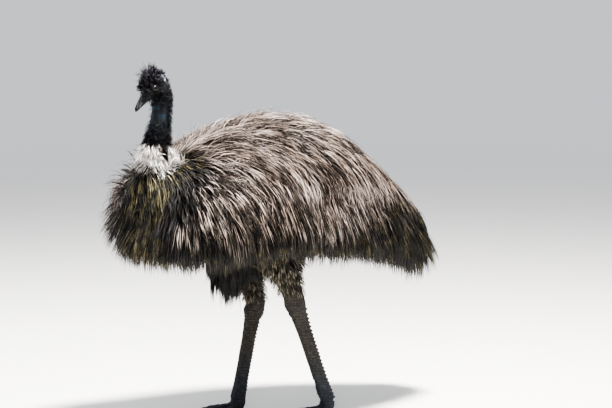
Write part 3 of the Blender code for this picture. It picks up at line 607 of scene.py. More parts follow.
# %% [markdown]
# ## One skin
# Trunk, neck and legs now become one closed skin with a Boolean union, so that no seam shows
# where a neck or a thigh comes out of the trunk. The manifold solver is quick on dense meshes.

# %% One skin for the whole bird
skin = trunk
skin.name = "skin"
for part in (head_and_neck, *legs):
    modifier = skin.modifiers.new("join", "BOOLEAN")
    modifier.operation = "UNION"
    modifier.solver = "MANIFOLD"
    modifier.object = part
apply_modifiers(skin)
for part in (head_and_neck, *legs):
    bpy.data.objects.remove(part)
skin.data.shade_smooth()
print("the skin has", len(skin.data.polygons), "faces")

# %% [markdown]
# ## Horn: bill and claws
# The bill is two horn sheaths that meet on the mouth line. It could be one cone, but the line of
# the mouth, the long nostril and the slightly hooked tip are what make it an emu's. Each half is
# a loft of fine sections, and the nostril is cut right into it.

# %% Bill
BILL_BASE_Y = HEAD_SECTIONS[-1][0] - 0.0004
BILL_LENGTH = 0.0566
GAP = 0.0003
BILL_SECTIONS = (
    (0.00, 0.0170, -0.0200, -0.0060, 0.0112),
    (0.25, 0.0150, -0.0186, -0.0066, 0.0076),
    (0.50, 0.0125, -0.0172, -0.0078, 0.0046),
    (0.75, 0.0092, -0.0164, -0.0096, 0.0012),
    (0.90, 0.0062, -0.0158, -0.0112, -0.0026),
    (1.00, 0.0024, -0.0156, -0.0128, -0.0088),
)
LOWER_REACH = 0.93
NOSTRIL_AT = (0.0108, BILL_BASE_Y - 0.45 * BILL_LENGTH, -0.0006)
NOSTRIL_RADII_MM = (3.0, 7.0, 1.5)
NOSTRIL_SLANT = math.radians(-9)


def bill_half(name, upper):
    """The upper or the lower sheath, with its flat side on the mouth line."""
    rings = []
    reach = 1.0 if upper else LOWER_REACH
    for share in spaced(0.0, reach, 0.02):
        half_width, keel, mouth, ridge = smooth_row(BILL_SECTIONS, share)
        y = BILL_BASE_Y - BILL_LENGTH * share
        ring = []
        for k in range(40):
            turn = 2 * math.pi * k / 40
            cosine, sine = math.cos(turn), math.sin(turn)
            if upper:
                peak = (ridge - mouth) * (abs(sine) ** 0.9 if sine > 0 else -0.10 * abs(sine))
                pinch = 1 - 0.30 * max(0.0, sine) ** 2
                ring.append((half_width * cosine * pinch, mouth + GAP + peak))
            else:
                closing = (1 - share / reach) ** 0.5
                deep = (mouth - keel) * (0.35 + 0.65 * closing)
                drop = deep * (-abs(sine) if sine < 0 else 0.06 * sine)
                ring.append((half_width * 0.93 * cosine, mouth - GAP + drop))
        rings.append([head_place @ Vector((x, y, z)) for x, z in ring])
    made = loft(name, rings)
    made.data.shade_smooth()
    return made


upper_bill = bill_half("bill_upper_horn", True)
lower_bill = bill_half("bill_lower_horn", False)
slant = head_turn @ Matrix.Rotation(NOSTRIL_SLANT, 4, "X")
nostrils = []
for side in (1, -1):
    spot = Vector((side * NOSTRIL_AT[0], *NOSTRIL_AT[1:]))
    nostrils.append(ball(head_place @ spot, 0.001, NOSTRIL_RADII_MM, slant))
cut(upper_bill, nostrils)
upper_bill.data.shade_smooth()
print("the bill has", len(upper_bill.data.polygons) + len(lower_bill.data.polygons), "faces")

# %% [markdown]
# A claw is the same horn as the bill. It is flat below, blunt at its end from walking and a little
# pinched on top. Being a piece of its own, it keeps a crisp rim where it leaves the toe.

# %% Claws
CLAW_LENGTH = 0.026
CLAW_SECTIONS = (
    (0.0, 0.52, 0.06, 0.62),
    (0.35, 0.46, 0.05, 0.60),
    (0.70, 0.31, 0.04, 0.44),
    (0.92, 0.15, 0.03, 0.24),
    (1.0, 0.05, 0.03, 0.11),
)


def build_claw(side, name):
    """One claw, set on the end of its toe."""
    ankle = leg_points(side)[2]
    _, length, radius = TOES[name]
    forward, across = toe_axes(side, name)
    rings = []
    for share in spaced(0.0, 1.0, 0.06):
        wide, low, high = smooth_row(CLAW_SECTIONS, share)
        centre = Vector((ankle.x, ankle.y, 0)) + forward * (length + GAP + CLAW_LENGTH * share)
        ring = []
        for k in range(24):
            around = 2 * math.pi * k / 24
            height = radius * (low + (high - low) * (0.5 + 0.5 * math.sin(around)))
            pinch = 1 - 0.35 * max(0.0, math.sin(around))
            side_step = across * (radius * wide * math.cos(around) * pinch)
            ring.append(centre + side_step + Vector((0, 0, height)))
        rings.append(ring)
    made = loft(f"claw_horn_{name}_{side}", rings)
    made.data.shade_smooth()
    return made


claws = {(side, name): build_claw(side, name) for side in ("left", "right") for name in TOES}
print("there are", len(claws), "claws")

# %% [markdown]
# ## Eyes
# A bird's eye shows a round cornea that bulges from the ball, an iris and a black pupil. The
# ball is a fine sphere with its front pushed out a little, and the rings are coloured by how far
# a point is from the line of sight.

# %% Eyes
CORNEA_BULGE = 0.035


def eye_line(side):
    """Centre of an eye and the way it looks."""
    centre = head_place @ Vector((side * EYE_SPREAD, 0, EYE_UP))
    look = (head_turn @ Vector((side, -0.16, 0.04))).normalized()
    return centre, look


def build_eye(side, name):
    """A ball with its front pushed out where it looks."""
    centre, look = eye_line(side)
    bm = bmesh.new()
    bmesh.ops.create_icosphere(bm, subdivisions=5, radius=EYE_RADIUS)
    for vert in bm.verts:
        facing = vert.co.normalized().dot(look)
        bulge = max(0.0, (facing - 0.80) / 0.20) ** 1.5
        vert.co = centre + vert.co * (1 + CORNEA_BULGE * bulge)
    made = mesh_object(name, bm)
    made.data.shade_smooth()
    return made


eyes = {"left": build_eye(1, "eyeball_left"), "right": build_eye(-1, "eyeball_right")}
print("the eyes are", round(2000 * EYE_RADIUS, 1), "mm across")

# %% [markdown]
# ## How the coat lies
# Feathers point away from the neck. They run back along the spine, turn down over the flanks and
# hang free at the hem, and on the breast they fall straight down. One rule gives the way at any
# place from its position and from how far the skin faces up.

# %% The lie of the coat
def clamp(value):
    """The value, held between 0 and 1."""
    return max(0.0, min(1.0, value))


def body_flow(point, normal):
    """The way a feather lies: down, and further back the more the skin faces up."""
    side = math.copysign(1.0, point.x)
    top = clamp(normal.z)
    facing_front = clamp((-normal.y - 0.25) / 0.5)
    behind_neck = clamp((point.y + 0.50) / 0.16)
    towards_tail = clamp((point.y - 0.12) / 0.35)
    back = (1 - facing_front) * behind_neck * (0.14 + 1.15 * top**1.6 + 0.16 * towards_tail)
    return Vector((side * (0.34 * top + 0.25 * facing_front), back, -1.0 + 0.5 * top)).normalized()


HEM_ROWS = (
    (-0.50, 0.505),
    (-0.40, 0.488),
    (-0.30, 0.480),
    (-0.18, 0.505),
    (-0.05, 0.518),
    (0.10, 0.492),
    (0.25, 0.476),
    (0.38, 0.442),
    (0.52, 0.408),
    (0.62, 0.385),
)


def hem_height(point):
    """How low the coat hangs under a place."""
    return smooth_row(HEM_ROWS, point.y)[0]


print("the hem hangs at", [round(hem_height(Vector((0.2, y, 0))), 3) for y in (-0.4, 0.0, 0.5)])

# %% [markdown]
# ## Growing a feather
# Blender's particle hair would be quick, but it isn't solid mesh. Here each feather is a thin
# ribbon with a raised shaft, three points to a ring. Its path starts in the skin, rises to its
# own height in the coat, then follows the skin's form as found with a search tree, and it hangs
# free where the form turns under.

# %% A search tree of the skin
skin_mesh = skin.data
skin_mesh.calc_loop_triangles()
corner = np.empty(len(skin_mesh.vertices) * 3)
skin_mesh.vertices.foreach_get("co", corner)
corner = corner.reshape(-1, 3)
triangle = np.empty(len(skin_mesh.loop_triangles) * 3, dtype=np.int32)
skin_mesh.loop_triangles.foreach_get("vertices", triangle)
triangle = triangle.reshape(-1, 3)
ends = corner[triangle]
middle = ends.mean(axis=1)
crossed = np.cross(ends[:, 1] - ends[:, 0], ends[:, 2] - ends[:, 0])
triangle_area = np.linalg.norm(crossed, axis=1) / 2
outward = crossed / (2 * triangle_area[:, None] + 1e-12)
at_x, at_y, at_z = middle.T
faces_up = outward[:, 2]
tree = BVHTree.FromPolygons(corner.tolist(), triangle.tolist())
print("the skin to search has", len(triangle), "triangles and", round(triangle_area.sum(), 2), "m2")

# %% [markdown]
# Each part of the coat picks its roots by at_x, at_y and at_z, the places of the triangles'
# middles. A large triangle is picked more often than a small one, so that the coat is equally
# dense on both.

# %% Roots of feathers
def scatter(rng, weight, count):
    """Places on the skin, as many as asked, denser where the weight is higher."""
    chance = triangle_area * weight
    picked = rng.choice(len(triangle), size=count, p=chance / chance.sum())
    a, b = rng.random((2, count, 1))
    root = np.sqrt(a)
    chosen = ends[picked]
    places = (1 - root) * chosen[:, 0] + root * (1 - b) * chosen[:, 1] + root * b * chosen[:, 2]
    return places, outward[picked]


print("roots can now be scattered")

# %% [markdown]
# A feather is lifted only by skin that is close to it, and only a little at each step. Otherwise one
# that hangs past the belly would be thrown out by the far side of the body.

# %% Paths of feathers
DOWN = Vector((0, 0, -1))
ROOT_DEPTH = 0.004
FIRST_RISE = 0.30
RISE_PER_STEP = 0.35
UNDERSIDE = -0.05
NEAR_SKIN = 0.08
LARGEST_PUSH = 0.025
SETTLING = 0.75
TURN_PER_STEP = 0.6


def follow(root, normal, way, length, height, hang, free, steps):
    """Points and outward normals of one feather from its root to its tip."""
    step = length / steps
    way = (way - normal * way.dot(normal) * (0.0 if free else 1.0)).normalized()
    point, facing = root - normal * ROOT_DEPTH, normal
    points, normals = [point], [facing]
    for k in range(1, steps + 1):
        way = way.lerp(DOWN, hang)
        way.normalize()
        ahead = point + way * step
        wanted = height * min(1.0, FIRST_RISE + RISE_PER_STEP * k)
        spot, out, _, gap = tree.find_nearest(ahead)
        above = (ahead - spot).dot(out)
        push = 0.0
        if above < wanted and gap < NEAR_SKIN:
            push = min(wanted - above, LARGEST_PUSH)
        elif above > wanted and out.z > UNDERSIDE and not free:
            push = max(wanted - above, -LARGEST_PUSH) * SETTLING
        if push:
            ahead = ahead + out * push
            facing = facing.lerp(out, TURN_PER_STEP)
        way = ahead - point
        way.normalize()
        point = ahead
        points.append(point)
        normals.append(facing.normalized())
    return points, normals


print("a feather can now find its way")

# %% [markdown]
# Feathers that grow close together follow one leader, and some kinds wind a little as they grow.

# %% Locks and curls
def locks(roots, size, rng):
    """Which lock each feather belongs to, and the feather that leads each lock."""
    leaders = rng.choice(len(roots), size=max(1, len(roots) // size), replace=False)
    lookup = KDTree(len(leaders))
    for k, leader in enumerate(leaders):
        lookup.insert(roots[leader], k)
    lookup.balance()
    return np.array([lookup.find(place)[1] for place in roots]), leaders


def curl(points, normals, size, turns, rng):
    """Winds each path round its own line, more towards its tip."""
    count, rings = points.shape[:2]
    along = np.gradient(points, axis=1)
    along /= np.linalg.norm(along, axis=2, keepdims=True) + 1e-9
    across = np.cross(along, normals)
    share = np.linspace(0, 1, rings)[None, :]
    phase = rng.uniform(0, 2 * math.pi, (count, 1)) + 2 * math.pi * turns * share
    radius = size * share
    aside = across * (radius * np.cos(phase))[..., None]
    lifted = normals * (radius * np.sin(phase))[..., None]
    return points + (aside + lifted)


print("feathers can now be gathered and curled")

# %% [markdown]
# ## From paths to mesh
# Thousands of ribbons are written in one go with arrays. Each feather keeps three numbers for its
# material: how far along it a point is, a tone of its own, and the height of its root, so that a
# pale feather stays pale where it hangs over a dark one. Its bake map is a small patch at the
# root's place on an unwrap of the skin.

# %% Ribbons
PATCH = 0.003


def ribbons(name, points, normals, width, tone, unwrapped):
    """One mesh of all the feathers, with their three numbers and their bake map."""
    count, rings = points.shape[0], points.shape[1]
    last = rings - 1
    along = np.gradient(points, axis=1)
    along /= np.linalg.norm(along, axis=2, keepdims=True) + 1e-9
    across = np.cross(along, normals)
    across /= np.linalg.norm(across, axis=2, keepdims=True) + 1e-9
    up = np.cross(across, along)
    share = np.linspace(0, 1, rings)[None, :, None]
    # each feather widens a little from its root and then narrows to a point
    half = width[:, None, None] / 2 * (0.65 + 1.2 * share) * (1 - share) ** 0.65
    rise = width[:, None, None] * 0.36 * (1 - 0.7 * share)
    body = np.stack((points - across * half, points + across * half, points + up * rise), axis=2)
    body = body[:, :last].reshape(count, -1, 3)
    verts = np.concatenate((body, points[:, last:]), axis=1)
    per = 3 * last + 1
    pattern = []
    for k in range(last - 1):
        a, b = 3 * k, 3 * k + 3
        for i, j in ((1, 0), (2, 1), (0, 2)):
            pattern += [(a + i, a + j, b + j), (a + i, b + j, b + i)]
    a, tip = 3 * (last - 1), 3 * last
    pattern += [(a + 1, a, tip), (a + 2, a + 1, tip), (a, a + 2, tip), (0, 1, 2)]
    faces = (np.array(pattern)[None] + (np.arange(count) * per)[:, None, None]).reshape(-1, 3)
    mesh = bpy.data.meshes.new(name)
    mesh.vertices.add(count * per)
    mesh.vertices.foreach_set("co", (verts.reshape(-1, 3) + np.array(SHIFT)).ravel())
    mesh.loops.add(len(faces) * 3)
    mesh.loops.foreach_set("vertex_index", faces.ravel().astype(np.int32))
    mesh.polygons.add(len(faces))
    mesh.polygons.foreach_set("loop_start", np.arange(0, len(faces) * 3, 3, dtype=np.int32))
    mesh.update(calc_edges=True)
    steps = np.concatenate((np.repeat(np.arange(last) / last, 3), [1.0]))
    sides = np.concatenate((np.tile([0.0, 1.0, 0.5], last), [0.5]))
    kept = {
        "along": np.tile(steps, count),
        "tone": np.repeat(tone, per),
        "root_height": np.repeat(points[:, 0, 2], per),
    }
    for label, values in kept.items():
        layer = mesh.attributes.new(label, "FLOAT", "POINT")
        layer.data.foreach_set("value", values.astype(np.float32))
    patch = np.stack((steps, sides), axis=1) * PATCH
    placed = unwrapped[:, None, :] * (1 - PATCH) + patch[None]
    uv = mesh.uv_layers.new(name="OFBake")
    uv.data.foreach_set("uv", placed.reshape(-1, 2)[faces.ravel()].ravel().astype(np.float32))
    mesh.shade_smooth()
    return new_object(name, mesh)


print("a feather of four steps is", 6 * 3 + 4, "triangles")

# %% [markdown]
# ## One way to grow every part of the coat
# Each part of the coat says where it grows, how long and wide its feathers are, how high they
# stand and which way they go. Feathers are gathered in locks: a lock's feathers share a way, a
# height and a length, and draw together at their tips. That gives the parted, shaggy look, with
# dark gaps between pale locks.

# %% Growing one part
# how far locks, and then the feathers in a lock, differ from the length, height or width asked for
LOCK_HEIGHTS = (0.22, 1.0)
LOCK_LENGTHS = (0.74, 1.02)
LOCK_PULLS = (0.5, 1.0)
OWN_LENGTHS = (0.82, 1.04)
OWN_HEIGHTS = (0.70, 1.0)
OWN_WIDTHS = (0.7, 1.25)
coat = {}


def always(value):
    """A rule that gives the same length, height or way at every place."""
    return lambda point, normal: value


def dress(name, rng, weight, count, length, width, height, way, unwrap, hang=0.1, tangle=0.1,
          lock=8, pull=0.6, free=False, curls=None, steps=4, stray=0.5):
    """Scatters, grows, gathers and meshes one part of the coat."""
    count = count
    roots, facings = scatter(rng, weight, count)
    member, leaders = locks(roots, lock, rng)
    many = len(leaders)
    lock_way = rng.normal(0, tangle, (many, 3))
    lock_height = rng.uniform(*LOCK_HEIGHTS, many)
    lock_length = rng.uniform(*LOCK_LENGTHS, many)
    points, normals = [], []
    for k in range(count):
        spot, normal, own = Vector(roots[k]), Vector(facings[k]), member[k]
        turn = Vector(lock_way[own]) + Vector(rng.normal(0, tangle * stray, 3))
        reach = length(spot, normal) * lock_length[own] * rng.uniform(*OWN_LENGTHS)
        lift = height(spot, normal) * lock_height[own] * rng.uniform(*OWN_HEIGHTS)
        path, out = follow(spot, normal, way(spot, normal) + turn, reach, lift, hang, free, steps)
        points.append(path)
        normals.append(out)
    points, normals = np.array(points), np.array(normals)
    share = np.linspace(0, 1, steps + 1) ** 1.3
    strength = rng.uniform(*LOCK_PULLS, many)[member] * pull
    points = points + (points[leaders[member]] - points) * (strength[:, None] * share)[..., None]
    if curls:
        points = curl(points, normals, *curls, rng)
    tone = 0.5 * rng.random(many)[member] + 0.5 * rng.random(count)
    spread = width * rng.uniform(*OWN_WIDTHS, count)
    coat[name] = ribbons(name, points, normals, spread, tone, unwrap(roots))
    return coat[name]


print("each part of the coat can now be grown by one call")

# %% [markdown]
# ## Where the neck is
# Feathers on the neck and collar hang round its line and not along the trunk, so the line is found
# first. The distance from it tells which places belong to the neck and which to the shoulders.

# %% The neck's own directions
def neck_axis(point):
    """The neck's centre line at a point's height."""
    rows = [(z, x, y) for x, y, z, _, _ in (NECK_ROOT[1], *NECK_PATH[2:])]
    x, y = smooth_row(rows, point[2])
    return Vector((x, y, point[2]))


def round_neck(roots):
    """Places on an unwrap of the neck: how far round it, and how far up."""
    axis = np.array([neck_axis(place) for place in roots])
    around = np.arctan2(roots[:, 0] - axis[:, 0], roots[:, 1] - axis[:, 1]) / (2 * math.pi) + 0.5
    return np.stack((around, (roots[:, 2] - 0.72) / 0.45), axis=1).clip(0, 1)


def collar_way(point, normal):
    """Down, and a little out from the neck's line."""
    out = point - neck_axis(point)
    out.z = 0
    return (out.normalized() * 0.25 + Vector((0, 0, -1))).normalized()


def nape_way(point, normal):
    """Down, and further off the skin the more it faces back."""
    return (normal * (0.28 + 0.48 * clamp(normal.y)) + Vector((0, 0.02, -1))).normalized()


near_neck = (at_y < -0.30) & (np.abs(at_x) < 0.14)
axis_at = np.array([
    neck_axis(place) if near else Vector((9, 9, 9)) for place, near in zip(middle, near_neck)
])
from_axis = np.hypot(at_x - axis_at[:, 0], at_y - axis_at[:, 1])
behind_axis = at_y - axis_at[:, 1]
print("the neck's line is found")

# %% [markdown]
# ## The body's plumage
# The trunk is covered by places picked at random, and each gets a long feather. Lengths are set
# so that the lowest tips end on the hem, which hangs lower before the legs and at the tail.

# %% Sizes of the body's feathers
BODY_FEATHER = 0.175
BREAST_FEATHER = 0.150
BODY_WIDTH = 0.0034
COAT_DEPTH = 0.036
NECK_FOOT = Vector((0, -0.43, 0.82))
THINNER_BELOW = 0.30
SEED = 4


def body_length(point, normal):
    """Long on the back, less so on the breast, and short where the hem or the underside is near."""
    reach = BODY_FEATHER - (BODY_FEATHER - BREAST_FEATHER) * clamp((-0.30 - point.y) / 0.12)
    room = (point.z - hem_height(point)) / 0.90
    if normal.z < -0.75:
        return 0.050 + 0.030 * clamp((-0.08 - point.y) / 0.10)
    return max(0.045, min(reach, room))


def body_height(point, normal):
    """How deep the coat is: less at the neck and rump, more on the shoulders."""
    by_neck = clamp((0.15 - (point - NECK_FOOT).length) / 0.08)
    shoulder = clamp((-0.24 - point.y) / 0.12) * clamp((abs(point.x) - 0.09) / 0.07)
    rump = clamp((point.y - 0.06) / 0.16) * clamp(normal.z * 2)
    deep = (COAT_DEPTH + 0.008 * clamp(normal.z)) * (1 - 0.45 * rump) + 0.026 * shoulder
    return deep * (1 - 0.55 * by_neck) * (0.35 if normal.z < -0.6 else 1.0)


def body_unwrap(roots):
    """Places on an unwrap of the trunk: how far along it, and how far round."""
    around = np.arctan2(roots[:, 0], roots[:, 2] - 0.69) / (2 * math.pi) + 0.5
    return np.stack(((roots[:, 1] + 0.60) / 1.30, around), axis=1).clip(0, 1)


rng = np.random.default_rng(SEED)
above_legs = at_z > 0.50 - 0.02 * (at_y > 0.3)
behind_neck = behind_axis > 0.030
on_neck = (from_axis < 0.085) & (at_z > 0.845) & ~behind_neck
on_neck |= (from_axis < 0.050) & (at_z > 0.80)
under = (at_z < 0.545) & (np.abs(at_x) < 0.15)
on_body = (above_legs & ~on_neck & (at_z < 1.0)).astype(float)
on_body = on_body * np.where(under, THINNER_BELOW, 1.0)
print("feathers on the back reach", BODY_FEATHER, "m")

# %% [markdown]
# The coat is grown in bands from breast to tail, so that no piece is too heavy to handle. Bands
# are parted by their roots only: the feathers of one lie over the next, and no seam shows.

# %% Grow the body's plumage
PLUMAGE_BANDS = (
    ("plumage_breast", -1.00, -0.36, 6800),
    ("plumage_shoulders", -0.36, -0.17, 6600),
    ("plumage_back", -0.17, 0.03, 6600),
    ("plumage_loin", 0.03, 0.22, 6200),
    ("plumage_rump", 0.22, 0.40, 5600),
    ("plumage_tail", 0.40, 1.00, 4800),
)
for name, low, high, count in PLUMAGE_BANDS:
    band = on_body * ((at_y >= low) & (at_y < high))
    dress(name, rng, band, count, body_length, BODY_WIDTH, body_height, body_flow, body_unwrap,
          tangle=0.15, lock=4, pull=0.45, stray=0.7)
print("body feathers:", sum(count for *_, count in PLUMAGE_BANDS))

# %% [markdown]
# ## Loose outer plumes
# Over the coat lie finer, paler plumes that stray and cross. They break up the even surface, and
# their thin curved tips give the ragged edge of an emu's back.

# %% Outer plumes
PLUME_WIDTH = 0.0017
PLUME_BANDS = (
    ("plumes_front", -1.0, 0.02, 7200),
    ("plumes_rear", 0.02, 1.0, 6200),
)


def plume_height(point, normal):
    """A little over the coat."""
    return body_height(point, normal) * 1.22


def plume_length(point, normal):
    """A little shorter than the coat's own feathers."""
    return max(0.05, min(0.150, body_length(point, normal) * 0.92))


outer = on_body * (at_z > 0.58) * (0.5 + 0.5 * faces_up.clip(0, 1))
for name, low, high, count in PLUME_BANDS:
    band = outer * ((at_y >= low) & (at_y < high))
    dress(name, rng, band, count, plume_length, PLUME_WIDTH, plume_height, body_flow, body_unwrap,
          tangle=0.30, lock=4, pull=0.5, curls=(0.0045, 0.45), stray=0.8)
print("outer plumes are on")

# %% [markdown]
# ## Belly tuft
# Before the legs a thick tuft hangs from the belly, lower than the rest of the hem, and a
# shorter fringe closes the gap between the thighs.

# %% Belly tuft
TUFT_FOOT = 0.352
TUFT_AT = (0.028, -0.185)
TUFT_SIZE = (0.080, 0.068)
TUFT_WIDTH = 0.0040
TUFT_HEIGHT = 0.02
FRINGE_FOOT = 0.412
tuft_away = np.hypot((at_x - TUFT_AT[0]) / TUFT_SIZE[0], (at_y - TUFT_AT[1]) / TUFT_SIZE[1])
tuft_zone = (tuft_away < 1) & (at_z > 0.45) & (at_z < 0.62) & (faces_up < -0.3)
fringe_zone = (np.abs(at_x) < 0.080) & (at_y > -0.14) & (at_y < 0.05)
fringe_zone &= (at_z > 0.50) & (at_z < 0.60) & (faces_up < -0.5)


def tuft_length(point, normal):
    """Longest in the middle of the tuft, so that it ends in a blunt point."""
    away = math.hypot((point.x - TUFT_AT[0]) / TUFT_SIZE[0], (point.y - TUFT_AT[1]) / TUFT_SIZE[1])
    return max(0.06, (point.z - TUFT_FOOT) * (0.48 + 0.52 * clamp(2.0 - 2.0 * away)))


def fringe_length(point, normal):
    return point.z - FRINGE_FOOT


dress("belly_tuft", rng, tuft_zone.astype(float), 1200, tuft_length, TUFT_WIDTH,
      always(TUFT_HEIGHT), always(Vector((0, 0.06, -1))), body_unwrap,
      hang=0.25, tangle=0.10, free=True)
dress("belly_fringe", rng, fringe_zone.astype(float), 420, fringe_length, TUFT_WIDTH,
      always(TUFT_HEIGHT), always(Vector((0, 0.04, -1))), body_unwrap,
      hang=0.25, tangle=0.10, free=True)
print("the tuft ends", TUFT_FOOT, "m above the floor")

# %% [markdown]
# ## Collar, neck and head feathers
# Where the neck meets the breast stands a loose collar of soft pale feathers. Above it the
# feathers are black and hair-like, thick down the nape and thin at the sides, so that the blue
# skin shows through. The crown has short curls that stand up. The collar comes first: fine down
# that stands out a little all round, but for a wedge at the left where the neck's black hair runs
# down into it. A few dark wisps stand up beside it from the far shoulder.

# %% Collar
COLLAR_LEVELS = (0.838, 0.916)
COLLAR_REACH = 0.094
COLLAR_LENGTH = 0.062
COLLAR_WIDTH = 0.0017
HAIR_WEDGE = Vector((0.040, -0.428, 0.890))
WEDGE_RADIUS = 0.014
WEDGE_DROP = 0.018
WISP_LEVELS = (0.74, 0.85)
WISP_SIDE = (-0.170, -0.060)
WISP_LENGTH = 0.105
WISP_WIDTH = 0.0036

in_wedge = np.hypot(at_x - HAIR_WEDGE.x, at_y - HAIR_WEDGE.y) < WEDGE_RADIUS
in_wedge &= at_z > HAIR_WEDGE.z - WEDGE_DROP
collar_zone = near_neck & (at_z > COLLAR_LEVELS[0]) & (at_z < COLLAR_LEVELS[1])
collar_zone &= (from_axis < COLLAR_REACH) & ~in_wedge & (behind_axis < 0.045)
wisp_zone = (at_z > WISP_LEVELS[0]) & (at_z < WISP_LEVELS[1]) & (at_y < -0.36)
wisp_zone &= (at_x > WISP_SIDE[0]) & (at_x < WISP_SIDE[1])


def wisp_way(point, normal):
    """Up and outwards to the far side."""
    return (normal * 0.5 + Vector((-0.45, 0.18, 0.75))).normalized()


dress("collar", rng, collar_zone.astype(float), 4200, always(COLLAR_LENGTH), COLLAR_WIDTH,
      always(0.012), collar_way, round_neck, tangle=0.22, lock=5, pull=0.35, free=True,
      curls=(0.003, 0.6), stray=0.9)
dress("collar_wisps", rng, wisp_zone.astype(float), 90, always(WISP_LENGTH), WISP_WIDTH,
      always(0.03), wisp_way, body_unwrap, hang=0.18, tangle=0.26, lock=3, pull=0.5, free=True,
      curls=(0.012, 0.5), steps=6)
print("the collar is on")

# %% [markdown]
# The neck's hair is thick down the nape and thin in front, where the bare skin shows. A weight on
# each place of the skin sets how many hairs it gets, which is simpler than several patches.

# %% Neck hair
HAIR_LEVELS = (0.872, 1.085)
HAIR_WIDTH = 0.0014
BARE_SHARE = 0.10

neck_zone = near_neck & (at_z > HAIR_LEVELS[0]) & (at_z < HAIR_LEVELS[1]) & (from_axis < 0.07)
nape = (behind_axis / 0.03).clip(0, 1)
low_neck = ((0.985 - at_z) / 0.05).clip(0, 1)
neck_weight = neck_zone * (BARE_SHARE + 0.9 * np.maximum(nape**1.2, low_neck))


def low_on_neck(point):
    """0 on the upper neck, 1 on the lower, where hair is longer and stands higher."""
    return clamp((0.975 - point.z) / 0.05)


def nape_height(point, normal):
    return 0.0025 + 0.0055 * low_on_neck(point)


def nape_length(point, normal):
    return 0.024 + 0.010 * low_on_neck(point)


dress("neck_hair", rng, neck_weight, 4400, nape_length, HAIR_WIDTH, nape_height, nape_way,
      round_neck, hang=0.08, tangle=0.24, lock=6, pull=0.6, free=True, curls=(0.003, 0.8))
print("the neck is feathered")

# %% [markdown]
# On the head the coat is in two kinds: curls that stand on the crown and rise to a small crest,
# and fine hair that lies back over the cheeks. Places are read in the head's own axes, so the
# coat would turn with the head. Hair is left thin behind the eye, where pale skin shows.

# %% The head's own axes
to_head = head_place.inverted()
in_head = np.array([to_head @ Vector(m) if m[2] > 1.02 else Vector((0, 9, 0)) for m in middle])
turn_head = head_turn.to_3x3()


def on_skull(roots):
    """Places on an unwrap of the head: how far back, and how far round."""
    local = np.array([to_head @ Vector(place) for place in roots])
    around = np.arctan2(local[:, 0], local[:, 2]) / (2 * math.pi) + 0.5
    return np.stack(((local[:, 1] + 0.04) / 0.12, around), axis=1).clip(0, 1)


print("triangles near the head:", int((in_head[:, 1] < 1).sum()))

# %% [markdown]
# The crown's curls lean forward on the brow and back behind it, and stand longest in the crest. The
# hair of the cheeks lies close, and is longer only under the jaw. Both keep clear of the eye.

# %% Crown and cheeks
EYE_CLEAR = 0.0150
CURL_WIDTH = 0.0016
CHEEK_WIDTH = 0.0010
CHEEK_TOP = 0.007
BEHIND_EYE_CURLS = 0.04
BEHIND_EYE_HAIR = 0.12


def crown_way(point, normal):
    """Out and up, leaning forward on the brow and back elsewhere."""
    local = to_head @ point
    back = turn_head @ Vector((0, 0.9 - 1.6 * clamp((-local.y + 0.004) / 0.02), 0.3))
    return (normal + back * 0.30 + Vector((0, 0, 0.45))).normalized()


def crown_length(point, normal):
    """Curls are longest in the crest on the crown, and short on the brow."""
    local = to_head @ point
    crest = clamp(1.25 - math.hypot(local.x / 0.022, (local.y - 0.021) / 0.024))
    return 0.015 + 0.046 * min(1.0, crest)


def cheek_length(point, normal):
    """Short on the cheeks, longer under the jaw and at the throat."""
    local = to_head @ point
    return 0.009 + 0.013 * clamp((-0.012 - local.z) / 0.008)


eye_clear = np.hypot(in_head[:, 1], in_head[:, 2] - EYE_UP) > EYE_CLEAR
on_head = (in_head[:, 1] > -0.028) & (in_head[:, 1] < 0.066)
behind_eye = (in_head[:, 1] > 0.034) & (np.abs(in_head[:, 0]) > 0.0150) & (in_head[:, 2] > -0.004)
crown_zone = (in_head[:, 2] > CHEEK_TOP) & (in_head[:, 1] > -0.020) & on_head & eye_clear & ~behind_eye
crown_weight = crown_zone + BEHIND_EYE_CURLS * (behind_eye & on_head)
cheek_zone = (in_head[:, 2] <= CHEEK_TOP) & on_head & eye_clear
cheek_weight = cheek_zone * np.where(behind_eye, BEHIND_EYE_HAIR, 1.0)
cheek_way = turn_head @ Vector((0, 1, -0.5))
dress("crown_curls", rng, crown_weight, 2700, crown_length, CURL_WIDTH, always(0.010), crown_way,
      on_skull, hang=0.0, tangle=0.42, lock=6, pull=0.75, free=True, curls=(0.0036, 1.0), stray=0.35)
dress("cheek_hair", rng, cheek_weight, 2300, cheek_length, CHEEK_WIDTH, always(0.0028),
      always(cheek_way), on_skull, hang=0.02, tangle=0.20, lock=4, pull=0.3, free=True,
      curls=(0.001, 0.6), steps=3)
print("the head is feathered")

# %% [markdown]
# The thighs carry short soft feathers that lie down the leg and stop a little above the hock. They
# are short enough for the leg's own form to show through them.

# %% Thighs
THIGH_WIDTH = 0.0028
BARE_ABOVE_HOCK = 0.020


def thigh_unwrap(roots):
    """Places on an unwrap of the two thighs, side by side."""
    aside = roots[:, 0] - np.sign(roots[:, 0]) * STANCE_HALF_WIDTH
    around = np.arctan2(aside, roots[:, 1]) / (2 * math.pi) + 0.5
    side = np.where(roots[:, 0] > 0, 0.5, 0.0)
    return np.stack((around / 2 + side, (roots[:, 2] - 0.34) / 0.25), axis=1).clip(0, 1)


def thigh_length(point, normal):
    return 0.030 + 0.30 * max(0.0, point.z - 0.46)


def thigh_height(point, normal):
    return 0.0150 + 0.08 * max(0.0, point.z - 0.43)


